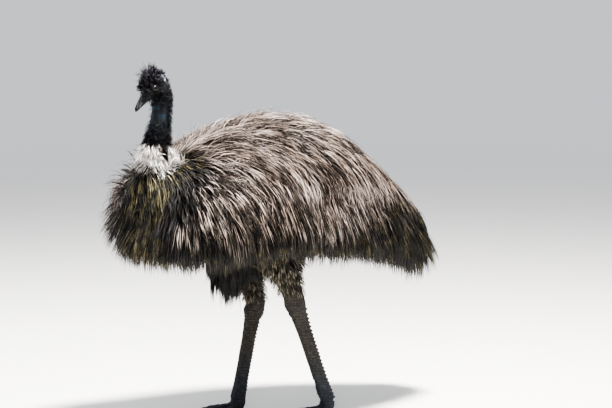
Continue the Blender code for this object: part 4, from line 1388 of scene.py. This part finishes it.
hock_level = np.where(at_x > 0, HOCK["left"][1], HOCK["right"][1])
thigh_zone = (at_z < 0.57) & (at_z > hock_level + BARE_ABOVE_HOCK) & (np.abs(at_x) < 0.2)
thigh_zone &= (at_y < 0.10) & (at_y > -0.24)
dress("thigh_feathers", rng, thigh_zone.astype(float), 4600, thigh_length, THIGH_WIDTH,
      thigh_height, always(Vector((0, 0.10, -1))), thigh_unwrap,
      hang=0.05, tangle=0.16, lock=5, pull=0.4, steps=3)
largest = max(len(piece.data.polygons) for piece in coat.values())
print("the coat has", sum(len(piece.data.polygons) for piece in coat.values()), "triangles")
print("its largest piece has", largest)

# %% [markdown]
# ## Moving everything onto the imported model
# The feathers were written in place. The skin, the horn and the eyes were drawn about the bird's
# own centre line, so they are moved sideways now.

# %% Put the drawn pieces in place
drawn = [skin, upper_bill, lower_bill, *claws.values(), *eyes.values()]
for made in drawn:
    made.data.transform(Matrix.Translation(SHIFT))
print("moved", len(drawn), "pieces")

# %% [markdown]
# ## Markings and painted shade
# One group of nodes gives the plumage's colour and its painted shade from the place on the bird, and
# both the skin and the feathers use it, so their markings match. Painting an image would be the other
# way, but places on the body are easier to name: a collar's height, the breast's width, the hem.

# %% Node helpers
def node(t, kind, **values):
    """A new node with these settings, in the tree t."""
    made = t.nodes.new(kind)
    for key, value in values.items():
        setattr(made, key, value)
    return made


def plug(t, target, source):
    """Sets a socket to a number or colour, or links it to another socket."""
    if isinstance(source, bpy.types.NodeSocket):
        t.links.new(source, target)
    elif isinstance(source, (tuple, list)) and len(source) == 3 and target.type == "RGBA":
        target.default_value = (*source, 1)
    else:
        target.default_value = source


def maths(t, operation, a, b=0.0, limited=False):
    """The result of one sum; limited holds it between 0 and 1."""
    made = node(t, "ShaderNodeMath", operation=operation, use_clamp=limited)
    plug(t, made.inputs[0], a)
    plug(t, made.inputs[1], b)
    return made.outputs[0]


def vector_maths(t, operation, a, b=None):
    """A node that works on vectors, with its vector and value outputs."""
    made = node(t, "ShaderNodeVectorMath", operation=operation)
    plug(t, made.inputs[0], a)
    if b is not None:
        plug(t, made.inputs[1], b)
    return made


def fade(t, value, start, end):
    """0 at start, 1 at end, smooth between; start may be the larger."""
    made = node(t, "ShaderNodeMapRange", interpolation_type="SMOOTHSTEP")
    low, high = min(start, end), max(start, end)
    plug(t, made.inputs["Value"], value)
    made.inputs["From Min"].default_value = low
    made.inputs["From Max"].default_value = high
    made.inputs["To Min"].default_value = 0.0 if start < end else 1.0
    made.inputs["To Max"].default_value = 1.0 if start < end else 0.0
    return made.outputs["Result"]


def blend_colours(t, share, a, b, kind="MIX"):
    """Colour a where the share is 0, and b over it where the share is 1."""
    made = node(t, "ShaderNodeMix", data_type="RGBA", blend_type=kind)
    plug(t, made.inputs["Factor"], share)
    plug(t, made.inputs["A"], a)
    plug(t, made.inputs["B"], b)
    return made.outputs["Result"]


def noise(t, vector, scale, detail=3.0, roughness=0.55):
    """A soft random value from 0 to 1 for each place."""
    made = node(t, "ShaderNodeTexNoise")
    plug(t, made.inputs["Vector"], vector)
    made.inputs["Scale"].default_value = scale
    made.inputs["Detail"].default_value = detail
    made.inputs["Roughness"].default_value = roughness
    return made.outputs["Fac"]


def new_group(name, inputs, outputs):
    """A group of nodes with these sockets, and the nodes for its two ends."""
    group = bpy.data.node_groups.new(name, "ShaderNodeTree")
    for label, kind, value in inputs:
        socket = group.interface.new_socket(name=label, in_out="INPUT", socket_type=kind)
        if value is not None:
            socket.default_value = value
    for label, kind in outputs:
        group.interface.new_socket(name=label, in_out="OUTPUT", socket_type=kind)
    return group, node(group, "NodeGroupInput"), node(group, "NodeGroupOutput")


print("node helpers are ready")

# %% [markdown]
# Every marking is placed in the drawing's own axes, so each tree of nodes first takes off the move
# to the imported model. Materials and their bump are set up the same way each time.

# %% Places, materials and bump
def bird_axes(t):
    """The place in the drawing's axes, whole and as x, y and z."""
    here = node(t, "ShaderNodeTexCoord").outputs["Object"]
    place = vector_maths(t, "SUBTRACT", here, SHIFT).outputs[0]
    parts = node(t, "ShaderNodeSeparateXYZ")
    t.links.new(place, parts.inputs[0])
    return place, *parts.outputs


def new_material(name):
    """A material, its tree of nodes and its shader."""
    material = bpy.data.materials.new(name)
    material.use_nodes = True
    t = material.node_tree
    return material, t, t.nodes["Principled BSDF"]


def add_bump(t, shader, height, strength, distance):
    """Lets a height tilt the shader's normal."""
    bump = node(t, "ShaderNodeBump")
    bump.inputs["Strength"].default_value = strength
    bump.inputs["Distance"].default_value = distance
    t.links.new(height, bump.inputs["Height"])
    t.links.new(bump.outputs["Normal"], shader.inputs["Normal"])


print("materials can now be made")

# %% [markdown]
# The markings start from the back's grey brown and are painted over one after the other: the rump,
# the painted shade of the lower third, the painted shade of the breast, the collar, the neck's hair
# and the thighs. Each is a soft mask from a place, and most have an edge that noise makes wander.

# %% The markings and painted shade
BACK = (0.138, 0.116, 0.106)
BACK_WARM = (0.086, 0.067, 0.056)
RUMP = (0.062, 0.050, 0.044)
# painted shade: the near-black of the shaded underside, plain and tinted olive
UNDERSIDE_SHADE = (0.0065, 0.0058, 0.0052)
UNDERSIDE_SHADE_OLIVE = (0.034, 0.029, 0.013)
# painted shade on the breast: olive-tinted in its middle, near black round it
BREAST_SHADE_OLIVE = (0.058, 0.050, 0.027)
BREAST_SHADE = (0.012, 0.011, 0.011)
COLLAR = (0.880, 0.870, 0.860)
HAIR = (0.006, 0.006, 0.008)
THIGH = (0.088, 0.080, 0.060)

marks_and_shade, inp, out = new_group(
    "emu_marks_and_shade",
    [("Root height", "NodeSocketFloat", 0.7), ("Stray", "NodeSocketFloat", 0.5)],
    [("Colour", "NodeSocketColor")],
)
t = marks_and_shade
place, x, y, z = bird_axes(t)
aside = maths(t, "ABSOLUTE", x)
patchy = noise(t, place, 9.0)
blotch = noise(t, place, 26.0)
wander = maths(t, "MULTIPLY", maths(t, "SUBTRACT", patchy, 0.5), 0.14)
stray = maths(t, "MULTIPLY", maths(t, "SUBTRACT", inp.outputs["Stray"], 0.5), 0.10)
wander = maths(t, "ADD", wander, stray)
level = maths(t, "ADD", inp.outputs["Root height"], wander)

# back and rump
colour = blend_colours(t, fade(t, patchy, 0.38, 0.62), BACK_WARM, BACK)
colour = blend_colours(t, maths(t, "MULTIPLY", fade(t, y, 0.15, 0.48), 0.60), colour, RUMP)

# painted shade on the lower third, by where a feather is rooted and by where it hangs
lower = blend_colours(t, fade(t, blotch, 0.48, 0.66), UNDERSIDE_SHADE, UNDERSIDE_SHADE_OLIVE)
here = maths(t, "ADD", z, wander)
underside_shade_mask = maths(t, "MULTIPLY", fade(t, here, 0.660, 0.585), 0.92)
underside_shade_mask = maths(t, "MAXIMUM", fade(t, level, 0.780, 0.690), underside_shade_mask)
colour = blend_colours(t, underside_shade_mask, colour, lower)

# painted shade on the breast: a dark band, with olive-tinted shade in its middle
front = fade(t, y, -0.310, -0.370)
band = maths(t, "ADD", maths(t, "ABSOLUTE", maths(t, "SUBTRACT", x, 0.060)), wander)
band = maths(t, "MULTIPLY", front, fade(t, band, 0.215, 0.175))
colour = blend_colours(t, band, colour, BREAST_SHADE)
width = maths(t, "ADD", maths(t, "ABSOLUTE", maths(t, "SUBTRACT", x, 0.040)), wander)
chest_shade = maths(t, "MULTIPLY", front, fade(t, width, 0.165, 0.115))
chest_shade = maths(t, "MULTIPLY", chest_shade, fade(t, blotch, 0.38, 0.60))
colour = blend_colours(t, maths(t, "MULTIPLY", chest_shade, fade(t, level, 0.54, 0.64)), colour, BREAST_SHADE_OLIVE)

# the collar, and above it the neck's black hair
breast_top = maths(t, "MULTIPLY", fade(t, y, -0.365, -0.395), fade(t, aside, 0.115, 0.075))
here = maths(t, "ADD", z, maths(t, "MULTIPLY", wander, 0.55))
collar_mask = maths(t, "MULTIPLY", breast_top, fade(t, here, 0.808, 0.858))
colour = blend_colours(t, collar_mask, colour, COLLAR)
colour = blend_colours(t, maths(t, "MULTIPLY", breast_top, fade(t, z, 0.918, 0.930)), colour, HAIR)

# the thighs
low_leg = maths(t, "MULTIPLY", fade(t, z, 0.475, 0.44), fade(t, y, 0.36, 0.30))
near_leg = maths(t, "MULTIPLY", low_leg, fade(t, aside, 0.185, 0.165))
colour = blend_colours(t, near_leg, colour, THIGH)
t.links.new(colour, out.inputs["Colour"])
print("markings:", len(t.nodes), "nodes")

# %% [markdown]
# ## Feather material
# A feather is darkened at its root as painted shade from the feathers that lie over it, is brightest
# along its middle and is dark again at its tip, and no two are the same tone. Two of the numbers that
# each ribbon carries drive both. The gloss is soft, and a pale feather's is a little softer.

# %% The tone of a feather
WARM_TINT = (0.85, 0.66, 0.52)

feather_tone, inp, out = new_group(
    "feather_tone",
    [("Colour", "NodeSocketColor", (0.2, 0.2, 0.2, 1)), ("Contrast", "NodeSocketFloat", 1.0),
     ("Tip", "NodeSocketFloat", 0.35)],
    [("Colour", "NodeSocketColor"), ("Roughness", "NodeSocketFloat")],
)
t = feather_tone
along = node(t, "ShaderNodeAttribute", attribute_name="along").outputs["Fac"]
tone = node(t, "ShaderNodeAttribute", attribute_name="tone").outputs["Fac"]
swing = maths(t, "SUBTRACT", fade(t, tone, 0.22, 0.78), 0.5)
swing = maths(t, "MULTIPLY", swing, inp.outputs["Contrast"])
bright = maths(t, "POWER", 4.0, swing)
# painted shade: each feather is darkened towards its root, where the feathers over it shade it
root_shade = maths(t, "ADD", maths(t, "MULTIPLY", fade(t, along, 0.05, 0.55), 0.86), 0.14)
tip_fade = maths(t, "MULTIPLY", fade(t, along, 0.72, 1.0), inp.outputs["Tip"])
tip_dark = maths(t, "SUBTRACT", 1.0, tip_fade)
strength = maths(t, "MULTIPLY", maths(t, "MULTIPLY", bright, root_shade), tip_dark)
scaled = node(t, "ShaderNodeVectorMath", operation="SCALE")
t.links.new(inp.outputs["Colour"], scaled.inputs[0])
t.links.new(strength, scaled.inputs["Scale"])
warm = blend_colours(t, fade(t, tone, 0.65, 0.15), scaled.outputs[0], WARM_TINT, "MULTIPLY")
t.links.new(warm, out.inputs["Colour"])
t.links.new(maths(t, "ADD", maths(t, "MULTIPLY", tone, 0.18), 0.46), out.inputs["Roughness"])
print("the tone of a feather:", len(t.nodes), "nodes")

# %% [markdown]
# Most of the coat takes the bird's markings. The hair, the crown, the wisps, the thighs, and the
# tuft with its fringe have one colour each, since they overlap places that are marked otherwise.

# %% Feather materials
WISP = (0.035, 0.030, 0.030)
CROWN = (0.015, 0.014, 0.018)


def feather_material(name, contrast, tip, tint=None, gloss=0.35):
    """A material for feathers, in one tint or else in the bird's markings."""
    material, t, shader = new_material(name)
    feather = node(t, "ShaderNodeGroup", node_tree=feather_tone)
    feather.inputs["Contrast"].default_value = contrast
    feather.inputs["Tip"].default_value = tip
    if tint:
        feather.inputs["Colour"].default_value = (*tint, 1)
    else:
        marks = node(t, "ShaderNodeGroup", node_tree=marks_and_shade)
        for label, kept in (("Root height", "root_height"), ("Stray", "tone")):
            carried = node(t, "ShaderNodeAttribute", attribute_name=kept)
            t.links.new(carried.outputs["Fac"], marks.inputs[label])
        t.links.new(marks.outputs["Colour"], feather.inputs["Colour"])
    t.links.new(feather.outputs["Colour"], shader.inputs["Base Color"])
    t.links.new(feather.outputs["Roughness"], shader.inputs["Roughness"])
    shader.inputs["Specular IOR Level"].default_value = gloss
    return material


plumage_material = feather_material("plumage", 2.5, 0.50)
plume_material = feather_material("plumes", 2.1, 0.30)
collar_material = feather_material("collar", 0.9, 0.25)
# painted shade: the belly tuft takes the near-black of the shaded underside
tuft_material = feather_material("belly_tuft", 1.8, 0.3, UNDERSIDE_SHADE)
wisp_material = feather_material("wisps", 2.4, 0.85, WISP)
hair_material = feather_material("hair", 1.8, 0.2, HAIR, gloss=0.22)
crown_material = feather_material("crown", 2.6, 0.0, CROWN, gloss=0.30)
thigh_material = feather_material("leg_feathers", 1.6, 0.65, THIGH)
COAT_MATERIALS = {
    "plumes_front": plume_material,
    "plumes_rear": plume_material,
    "belly_tuft": tuft_material,
    "belly_fringe": tuft_material,
    "collar": collar_material,
    "collar_wisps": wisp_material,
    "neck_hair": hair_material,
    "crown_curls": crown_material,
    "cheek_hair": hair_material,
    "thigh_feathers": thigh_material,
}
for name, piece in coat.items():
    piece.data.materials.append(COAT_MATERIALS.get(name, plumage_material))
print("feather materials on", len(coat), "pieces")

# %% [markdown]
# ## Skin material
# Under the neck's hair the skin is dark slate blue, paler behind the eye. On the legs it is grey
# brown with a net of small scales. A pattern of cells gives the scales their edges, and gives each
# a tone of its own.

# %% Scales
scaled_skin, inp, out = new_group(
    "scales",
    [("Size", "NodeSocketFloat", 220.0)],
    [("Height", "NodeSocketFloat"), ("Tone", "NodeSocketFloat")],
)
t = scaled_skin
place, *_ = bird_axes(t)
cells = node(t, "ShaderNodeTexVoronoi", feature="DISTANCE_TO_EDGE")
chips = node(t, "ShaderNodeTexVoronoi", feature="F1")
for pattern in (cells, chips):
    t.links.new(place, pattern.inputs["Vector"])
    t.links.new(inp.outputs["Size"], pattern.inputs["Scale"])
t.links.new(fade(t, cells.outputs["Distance"], 0.0, 0.10), out.inputs["Height"])
shade = node(t, "ShaderNodeSeparateColor")
t.links.new(chips.outputs["Color"], shade.inputs[0])
t.links.new(shade.outputs[0], out.inputs["Tone"])
print("scales:", len(t.nodes), "nodes")

# %% [markdown]
# Where the coat grows, the skin takes the coat's own markings and painted shade, darkened further as
# painted shade in the gaps between feathers. The neck is slate blue and creased by wrinkles that run
# round it, with painted shade in the creases, the head is near black, and the pale patch of skin,
# with a painted highlight on it, is measured from three spots behind the eye.

# %% Skin of the body, neck and head
# painted shade: the skin under the coat is darkened so that the gaps between feathers read as shade
UNDER_COAT_SHADE = (0.25, 0.24, 0.23)
SLATE_DEEP = (0.005, 0.007, 0.011)
SLATE_BLUE = (0.011, 0.030, 0.048)
# painted shade in the creases of the neck's wrinkles
SLATE_CREASE_SHADE = (0.004, 0.005, 0.007)
HEAD_BLACK = (0.006, 0.006, 0.008)
# pale blue skin behind the eye, with a painted highlight on it
PALE_BLUE_AND_HIGHLIGHT = (0.22, 0.28, 0.34)
PALE_AND_HIGHLIGHT_SPOTS = ((0.0185, 0.0560, 0.0070), (0.0225, 0.0520, -0.0060), (0.0235, 0.0500, -0.0190))
WRINKLE_SQUASH = (1.0, 1.0, 3.2)

skin_material, t, shader = new_material("emu_skin")
place, _, y, z = bird_axes(t)
ground = node(t, "ShaderNodeGroup", node_tree=marks_and_shade)
t.links.new(z, ground.inputs["Root height"])
# painted shade in the gaps between feathers
shaded_under_coat = blend_colours(t, 1.0, ground.outputs["Colour"], UNDER_COAT_SHADE, "MULTIPLY")
mottle = noise(t, place, 45.0, 5.0)
slate = blend_colours(t, fade(t, mottle, 0.42, 0.68), SLATE_DEEP, SLATE_BLUE)
squashed = node(t, "ShaderNodeMapping")
t.links.new(place, squashed.inputs["Vector"])
squashed.inputs["Scale"].default_value = WRINKLE_SQUASH
wrinkles = noise(t, squashed.outputs[0], 150.0, 4.0)
# painted shade: the neck's wrinkles are darkened in their creases
slate = blend_colours(t, fade(t, wrinkles, 0.50, 0.36), slate, SLATE_CREASE_SHADE)
slate = blend_colours(t, fade(t, z, 1.030, 1.055), slate, HEAD_BLACK)
neck_mask = maths(t, "MULTIPLY", fade(t, z, 0.885, 0.905), fade(t, y, -0.33, -0.36))
colour = blend_colours(t, neck_mask, shaded_under_coat, slate)
from_patch = 1.0
for spot in PALE_AND_HIGHLIGHT_SPOTS:
    away = vector_maths(t, "DISTANCE", place, head_place @ Vector(spot))
    from_patch = maths(t, "MINIMUM", away.outputs["Value"], from_patch)
from_patch = maths(t, "ADD", from_patch, maths(t, "MULTIPLY", mottle, 0.014))
# pale blue skin with a painted highlight on it, behind the eye
pale_skin_and_highlight = maths(t, "MULTIPLY", fade(t, from_patch, 0.017, 0.009), 0.85)
colour = blend_colours(t, pale_skin_and_highlight, colour, PALE_BLUE_AND_HIGHLIGHT)
print("skin of the body, neck and head:", len(t.nodes), "nodes")

# %% [markdown]
# The scales of the legs are brown near the hock and bluer towards the toes, with worn pale places.
# The edges between them, and rings round the shank, are drawn dark.

# %% Skin of the legs
SCALES_BROWN = ((0.019, 0.016, 0.014), (0.052, 0.045, 0.038))
SCALES_BLUE = ((0.014, 0.017, 0.024), (0.036, 0.043, 0.057))
SCALES_WORN = (0.080, 0.072, 0.062)
SCALE_EDGE = (0.008, 0.008, 0.008)
RING_PERIOD = 0.0094
SCALES_PER_METRE = 190.0

scales = node(t, "ShaderNodeGroup", node_tree=scaled_skin)
scales.inputs["Size"].default_value = SCALES_PER_METRE
leg_brown = blend_colours(t, scales.outputs["Tone"], *SCALES_BROWN)
leg_blue = blend_colours(t, scales.outputs["Tone"], *SCALES_BLUE)
leg_colour = blend_colours(t, fade(t, z, 0.24, 0.05), leg_brown, leg_blue)
worn = maths(t, "MULTIPLY", fade(t, mottle, 0.50, 0.75), 0.5)
leg_colour = blend_colours(t, worn, leg_colour, SCALES_WORN)
turns = maths(t, "MULTIPLY", z, 2 * math.pi / RING_PERIOD)
turns = maths(t, "ADD", turns, maths(t, "MULTIPLY", mottle, 9.0))
rings = fade(t, maths(t, "SINE", turns), -1.0, -0.3)
joints = maths(t, "MINIMUM", rings, fade(t, scales.outputs["Height"], 0.0, 0.6))
shaded = blend_colours(t, 0.45, SCALE_EDGE, leg_colour)
leg_colour = blend_colours(t, joints, shaded, leg_colour)
leg = fade(t, z, 0.43, 0.37)
colour = blend_colours(t, leg, colour, leg_colour)
t.links.new(colour, shader.inputs["Base Color"])
print("with the legs:", len(t.nodes), "nodes")

# %% [markdown]
# The gloss differs from place to place, and the legs are duller. One height carries the scales and
# rings of the legs and the wrinkles of the neck. It is bump on top of the modelled plates and lids.

# %% Gloss and relief of the skin
SKIN_BUMP = 0.55
SKIN_BUMP_DEPTH = 0.0012

dull = maths(t, "ADD", maths(t, "MULTIPLY", mottle, 0.3), maths(t, "MULTIPLY", leg, 0.16))
t.links.new(maths(t, "ADD", dull, 0.50), shader.inputs["Roughness"])
shader.inputs["Specular IOR Level"].default_value = 0.35
relief = maths(t, "ADD", maths(t, "MULTIPLY", joints, leg), maths(t, "MULTIPLY", mottle, 0.8))
relief = maths(t, "ADD", relief, maths(t, "MULTIPLY", wrinkles, maths(t, "SUBTRACT", 1.0, leg)))
add_bump(t, shader, relief, SKIN_BUMP, SKIN_BUMP_DEPTH)
skin.data.materials.clear()
skin.data.materials.append(skin_material)
print("skin material:", len(t.nodes), "nodes")

# %% [markdown]
# ## Horn and eye materials
# Horn is built of thin layers, so it shows fine streaks along its growth, a paler top that is partly
# wear and partly a painted highlight, and a soft gloss. The eye is the one wet surface: a clear coat
# over a brown iris and black pupil.

# %% Horn
horn, inp, out = new_group(
    "horn",
    [("Dark", "NodeSocketColor", (0.02, 0.02, 0.02, 1)),
     ("Pale", "NodeSocketColor", (0.2, 0.2, 0.2, 1)),
     ("Sheen and wear", "NodeSocketFloat", 0.5)],
    [("Colour", "NodeSocketColor"), ("Roughness", "NodeSocketFloat"), ("Height", "NodeSocketFloat")],
)
t = horn
place, *_ = bird_axes(t)
stretch = node(t, "ShaderNodeMapping")
t.links.new(place, stretch.inputs["Vector"])
stretch.inputs["Scale"].default_value = (1.0, 0.22, 0.22)
streaks = noise(t, stretch.outputs[0], 420.0, 4.0)
facing = node(t, "ShaderNodeSeparateXYZ")
t.links.new(node(t, "ShaderNodeNewGeometry").outputs["Normal"], facing.inputs[0])
# painted highlight and wear: faces that look up are made paler
top = maths(t, "MULTIPLY", fade(t, facing.outputs["Z"], 0.62, 0.90), inp.outputs["Sheen and wear"])
mask = maths(t, "ADD", maths(t, "MULTIPLY", fade(t, streaks, 0.42, 0.70), 0.30), top, limited=True)
t.links.new(blend_colours(t, mask, inp.outputs["Dark"], inp.outputs["Pale"]), out.inputs["Colour"])
t.links.new(maths(t, "ADD", maths(t, "MULTIPLY", streaks, 0.25), 0.30), out.inputs["Roughness"])
t.links.new(streaks, out.inputs["Height"])


HORN_BUMP = 0.35


def horn_material(name, dark, pale, sheen_and_wear, distance, gloss):
    """A material for horn; distance is the depth of its streaks."""
    material, t, shader = new_material(name)
    group = node(t, "ShaderNodeGroup", node_tree=horn)
    group.inputs["Dark"].default_value = (*dark, 1)
    group.inputs["Pale"].default_value = (*pale, 1)
    group.inputs["Sheen and wear"].default_value = sheen_and_wear
    shader.inputs["Specular IOR Level"].default_value = gloss
    t.links.new(group.outputs["Colour"], shader.inputs["Base Color"])
    t.links.new(group.outputs["Roughness"], shader.inputs["Roughness"])
    add_bump(t, shader, group.outputs["Height"], HORN_BUMP, distance)
    return material


BILL_COLOURS = ((0.006, 0.006, 0.007), (0.200, 0.200, 0.210))
CLAW_COLOURS = ((0.022, 0.019, 0.017), (0.12, 0.10, 0.085))
# the bill's paler top is a painted highlight along its ridge
bill_material = horn_material("bill_horn", *BILL_COLOURS, 0.60, 0.0004, 0.22)
claw_material = horn_material("claw_horn", *CLAW_COLOURS, 0.5, 0.0005, 0.5)
for made in (upper_bill, lower_bill):
    made.data.materials.clear()
    made.data.materials.append(bill_material)
for made in claws.values():
    made.data.materials.append(claw_material)
print("horn on", 2 + len(claws), "pieces")

# %% [markdown]
# The eye's rings are measured from its line of sight, so one rule colours both eyes. The pupil is
# wide and the iris dark brown, which leaves the small bright reflection as the liveliest point.

# %% Eye material
IRIS = ((0.010, 0.004, 0.002), (0.026, 0.011, 0.005))
EYE_RIM = (0.012, 0.010, 0.010)
PUPIL = (0.002, 0.002, 0.002)

for side, name in ((1, "left"), (-1, "right")):
    centre, look = eye_line(side)
    material, t, shader = new_material("eye_" + name)
    place, *_ = bird_axes(t)
    from_centre = vector_maths(t, "SUBTRACT", place, centre).outputs[0]
    unit = vector_maths(t, "NORMALIZE", from_centre).outputs[0]
    near = vector_maths(t, "DOT_PRODUCT", unit, look).outputs["Value"]
    spokes = noise(t, unit, 14.0, 4.0)
    iris = blend_colours(t, fade(t, spokes, 0.35, 0.65), *IRIS)
    colour = blend_colours(t, fade(t, near, 0.70, 0.78), EYE_RIM, iris)
    colour = blend_colours(t, fade(t, near, 0.905, 0.930), colour, PUPIL)
    t.links.new(colour, shader.inputs["Base Color"])
    shader.inputs["Roughness"].default_value = 0.25
    shader.inputs["Specular IOR Level"].default_value = 0.25
    shader.inputs["Coat Weight"].default_value = 0.55
    shader.inputs["Coat Roughness"].default_value = 0.03
    eyes[name].data.materials.append(material)
print("the eyes look", [round(v, 2) for v in eye_line(1)[1]])

# %% [markdown]
# ## Floor and light
# A plain pale floor shows the form without drama. It is very wide, and far off it melts into the
# sky by taking the sky's own colour as a glow, so that no horizon crosses the picture.

# %% Floor
SKY = (0.93, 0.95, 1.0)
SKY_STRENGTH = 0.62
FLOOR = (0.78, 0.77, 0.75)
NOTHING = (0, 0, 0)
FLOOR_RADIUS = 220.0
FLOOR_DROP = 0.0012
SKY_FROM, SKY_AT = 3.0, 14.0

bpy.ops.mesh.primitive_circle_add(
    vertices=64, radius=FLOOR_RADIUS, fill_type="NGON", location=(0, 0, -FLOOR_DROP)
)
floor = bpy.context.object
floor.name = "floor"
floor_material, t, shader = new_material("floor")
from_bird = vector_maths(t, "LENGTH", node(t, "ShaderNodeTexCoord").outputs["Object"])
far = fade(t, from_bird.outputs["Value"], SKY_FROM, SKY_AT)
t.links.new(blend_colours(t, far, FLOOR, NOTHING), shader.inputs["Base Color"])
t.links.new(blend_colours(t, far, NOTHING, SKY), shader.inputs["Emission Color"])
shader.inputs["Emission Strength"].default_value = SKY_STRENGTH
shader.inputs["Roughness"].default_value = 0.9
shader.inputs["Specular IOR Level"].default_value = 0.0
floor.data.materials.append(floor_material)
print("the floor is plain near the bird and glows like the sky far off")

# %% [markdown]
# The photograph was taken under a high sun a little behind the bird, so the main light is small
# and strong, high above and a little behind. A weaker one from the camera's side opens the
# shadows, and a third lights the far edge. The sky fills in the rest.

# %% Lights and sky
# name, place, aim, size, power and colour of each
LIGHTS = (
    ("high", (0.9, 0.3, 4.4), (0, 0, 0.7), 0.8, 760, (1.0, 0.97, 0.93)),
    ("front", (4.0, -3.6, 2.6), (0, -0.1, 0.7), 1.3, 62, (1, 1, 1)),
    ("rim", (-3.2, -2.2, 2.6), (0, -0.2, 0.8), 1.6, 90, (0.93, 0.96, 1.0)),
)


def soft_light(name, place, aim, size, power, colour):
    """A round light of this size in metres and power in watts, turned to its aim."""
    data = bpy.data.lights.new(name, "AREA")
    data.shape = "DISK"
    data.size = size
    data.energy = power
    data.color = colour
    made = new_object(name, data)
    made.location = place
    made.rotation_euler = (Vector(aim) - Vector(place)).to_track_quat("-Z", "Y").to_euler()


for light in LIGHTS:
    soft_light(*light)
world = bpy.data.worlds.new("studio")
bpy.context.scene.world = world
world.use_nodes = True
background = world.node_tree.nodes["Background"]
background.inputs["Color"].default_value = (*SKY, 1)
background.inputs["Strength"].default_value = SKY_STRENGTH
bpy.context.scene.view_settings.look = "AgX - High Contrast"
print("three soft lights and a pale sky")

# %% [markdown]
# ## Handing the pieces over
# The parts of the imported model that the pieces stand for are hidden. The whole bird is one body,
# so every piece rides on it.

# %% Pieces to the imported model
FLESH = [
    "breast", "torso", "tail", "wing_left", "wing_right", "neck_lower", "neck_upper", "head",
    "thigh_left", "thigh_right", "shank_left", "shank_right", "foot_left", "foot_right",
]
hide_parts(*FLESH)
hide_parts("bill_upper")
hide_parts("bill_lower")
for (side, name), made in claws.items():
    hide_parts(f"claw_{name}_{side}")
for name, made in eyes.items():
    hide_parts("eye_" + name)
bird = [*drawn, *coat.values()]
for piece in bird:
    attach(piece, "root")
print("handed over", len(bird), "pieces")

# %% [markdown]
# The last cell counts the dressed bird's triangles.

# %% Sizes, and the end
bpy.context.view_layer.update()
triangles = sum(len(face.vertices) - 2 for piece in bird for face in piece.data.polygons)
print("the bird has", triangles, "triangles")
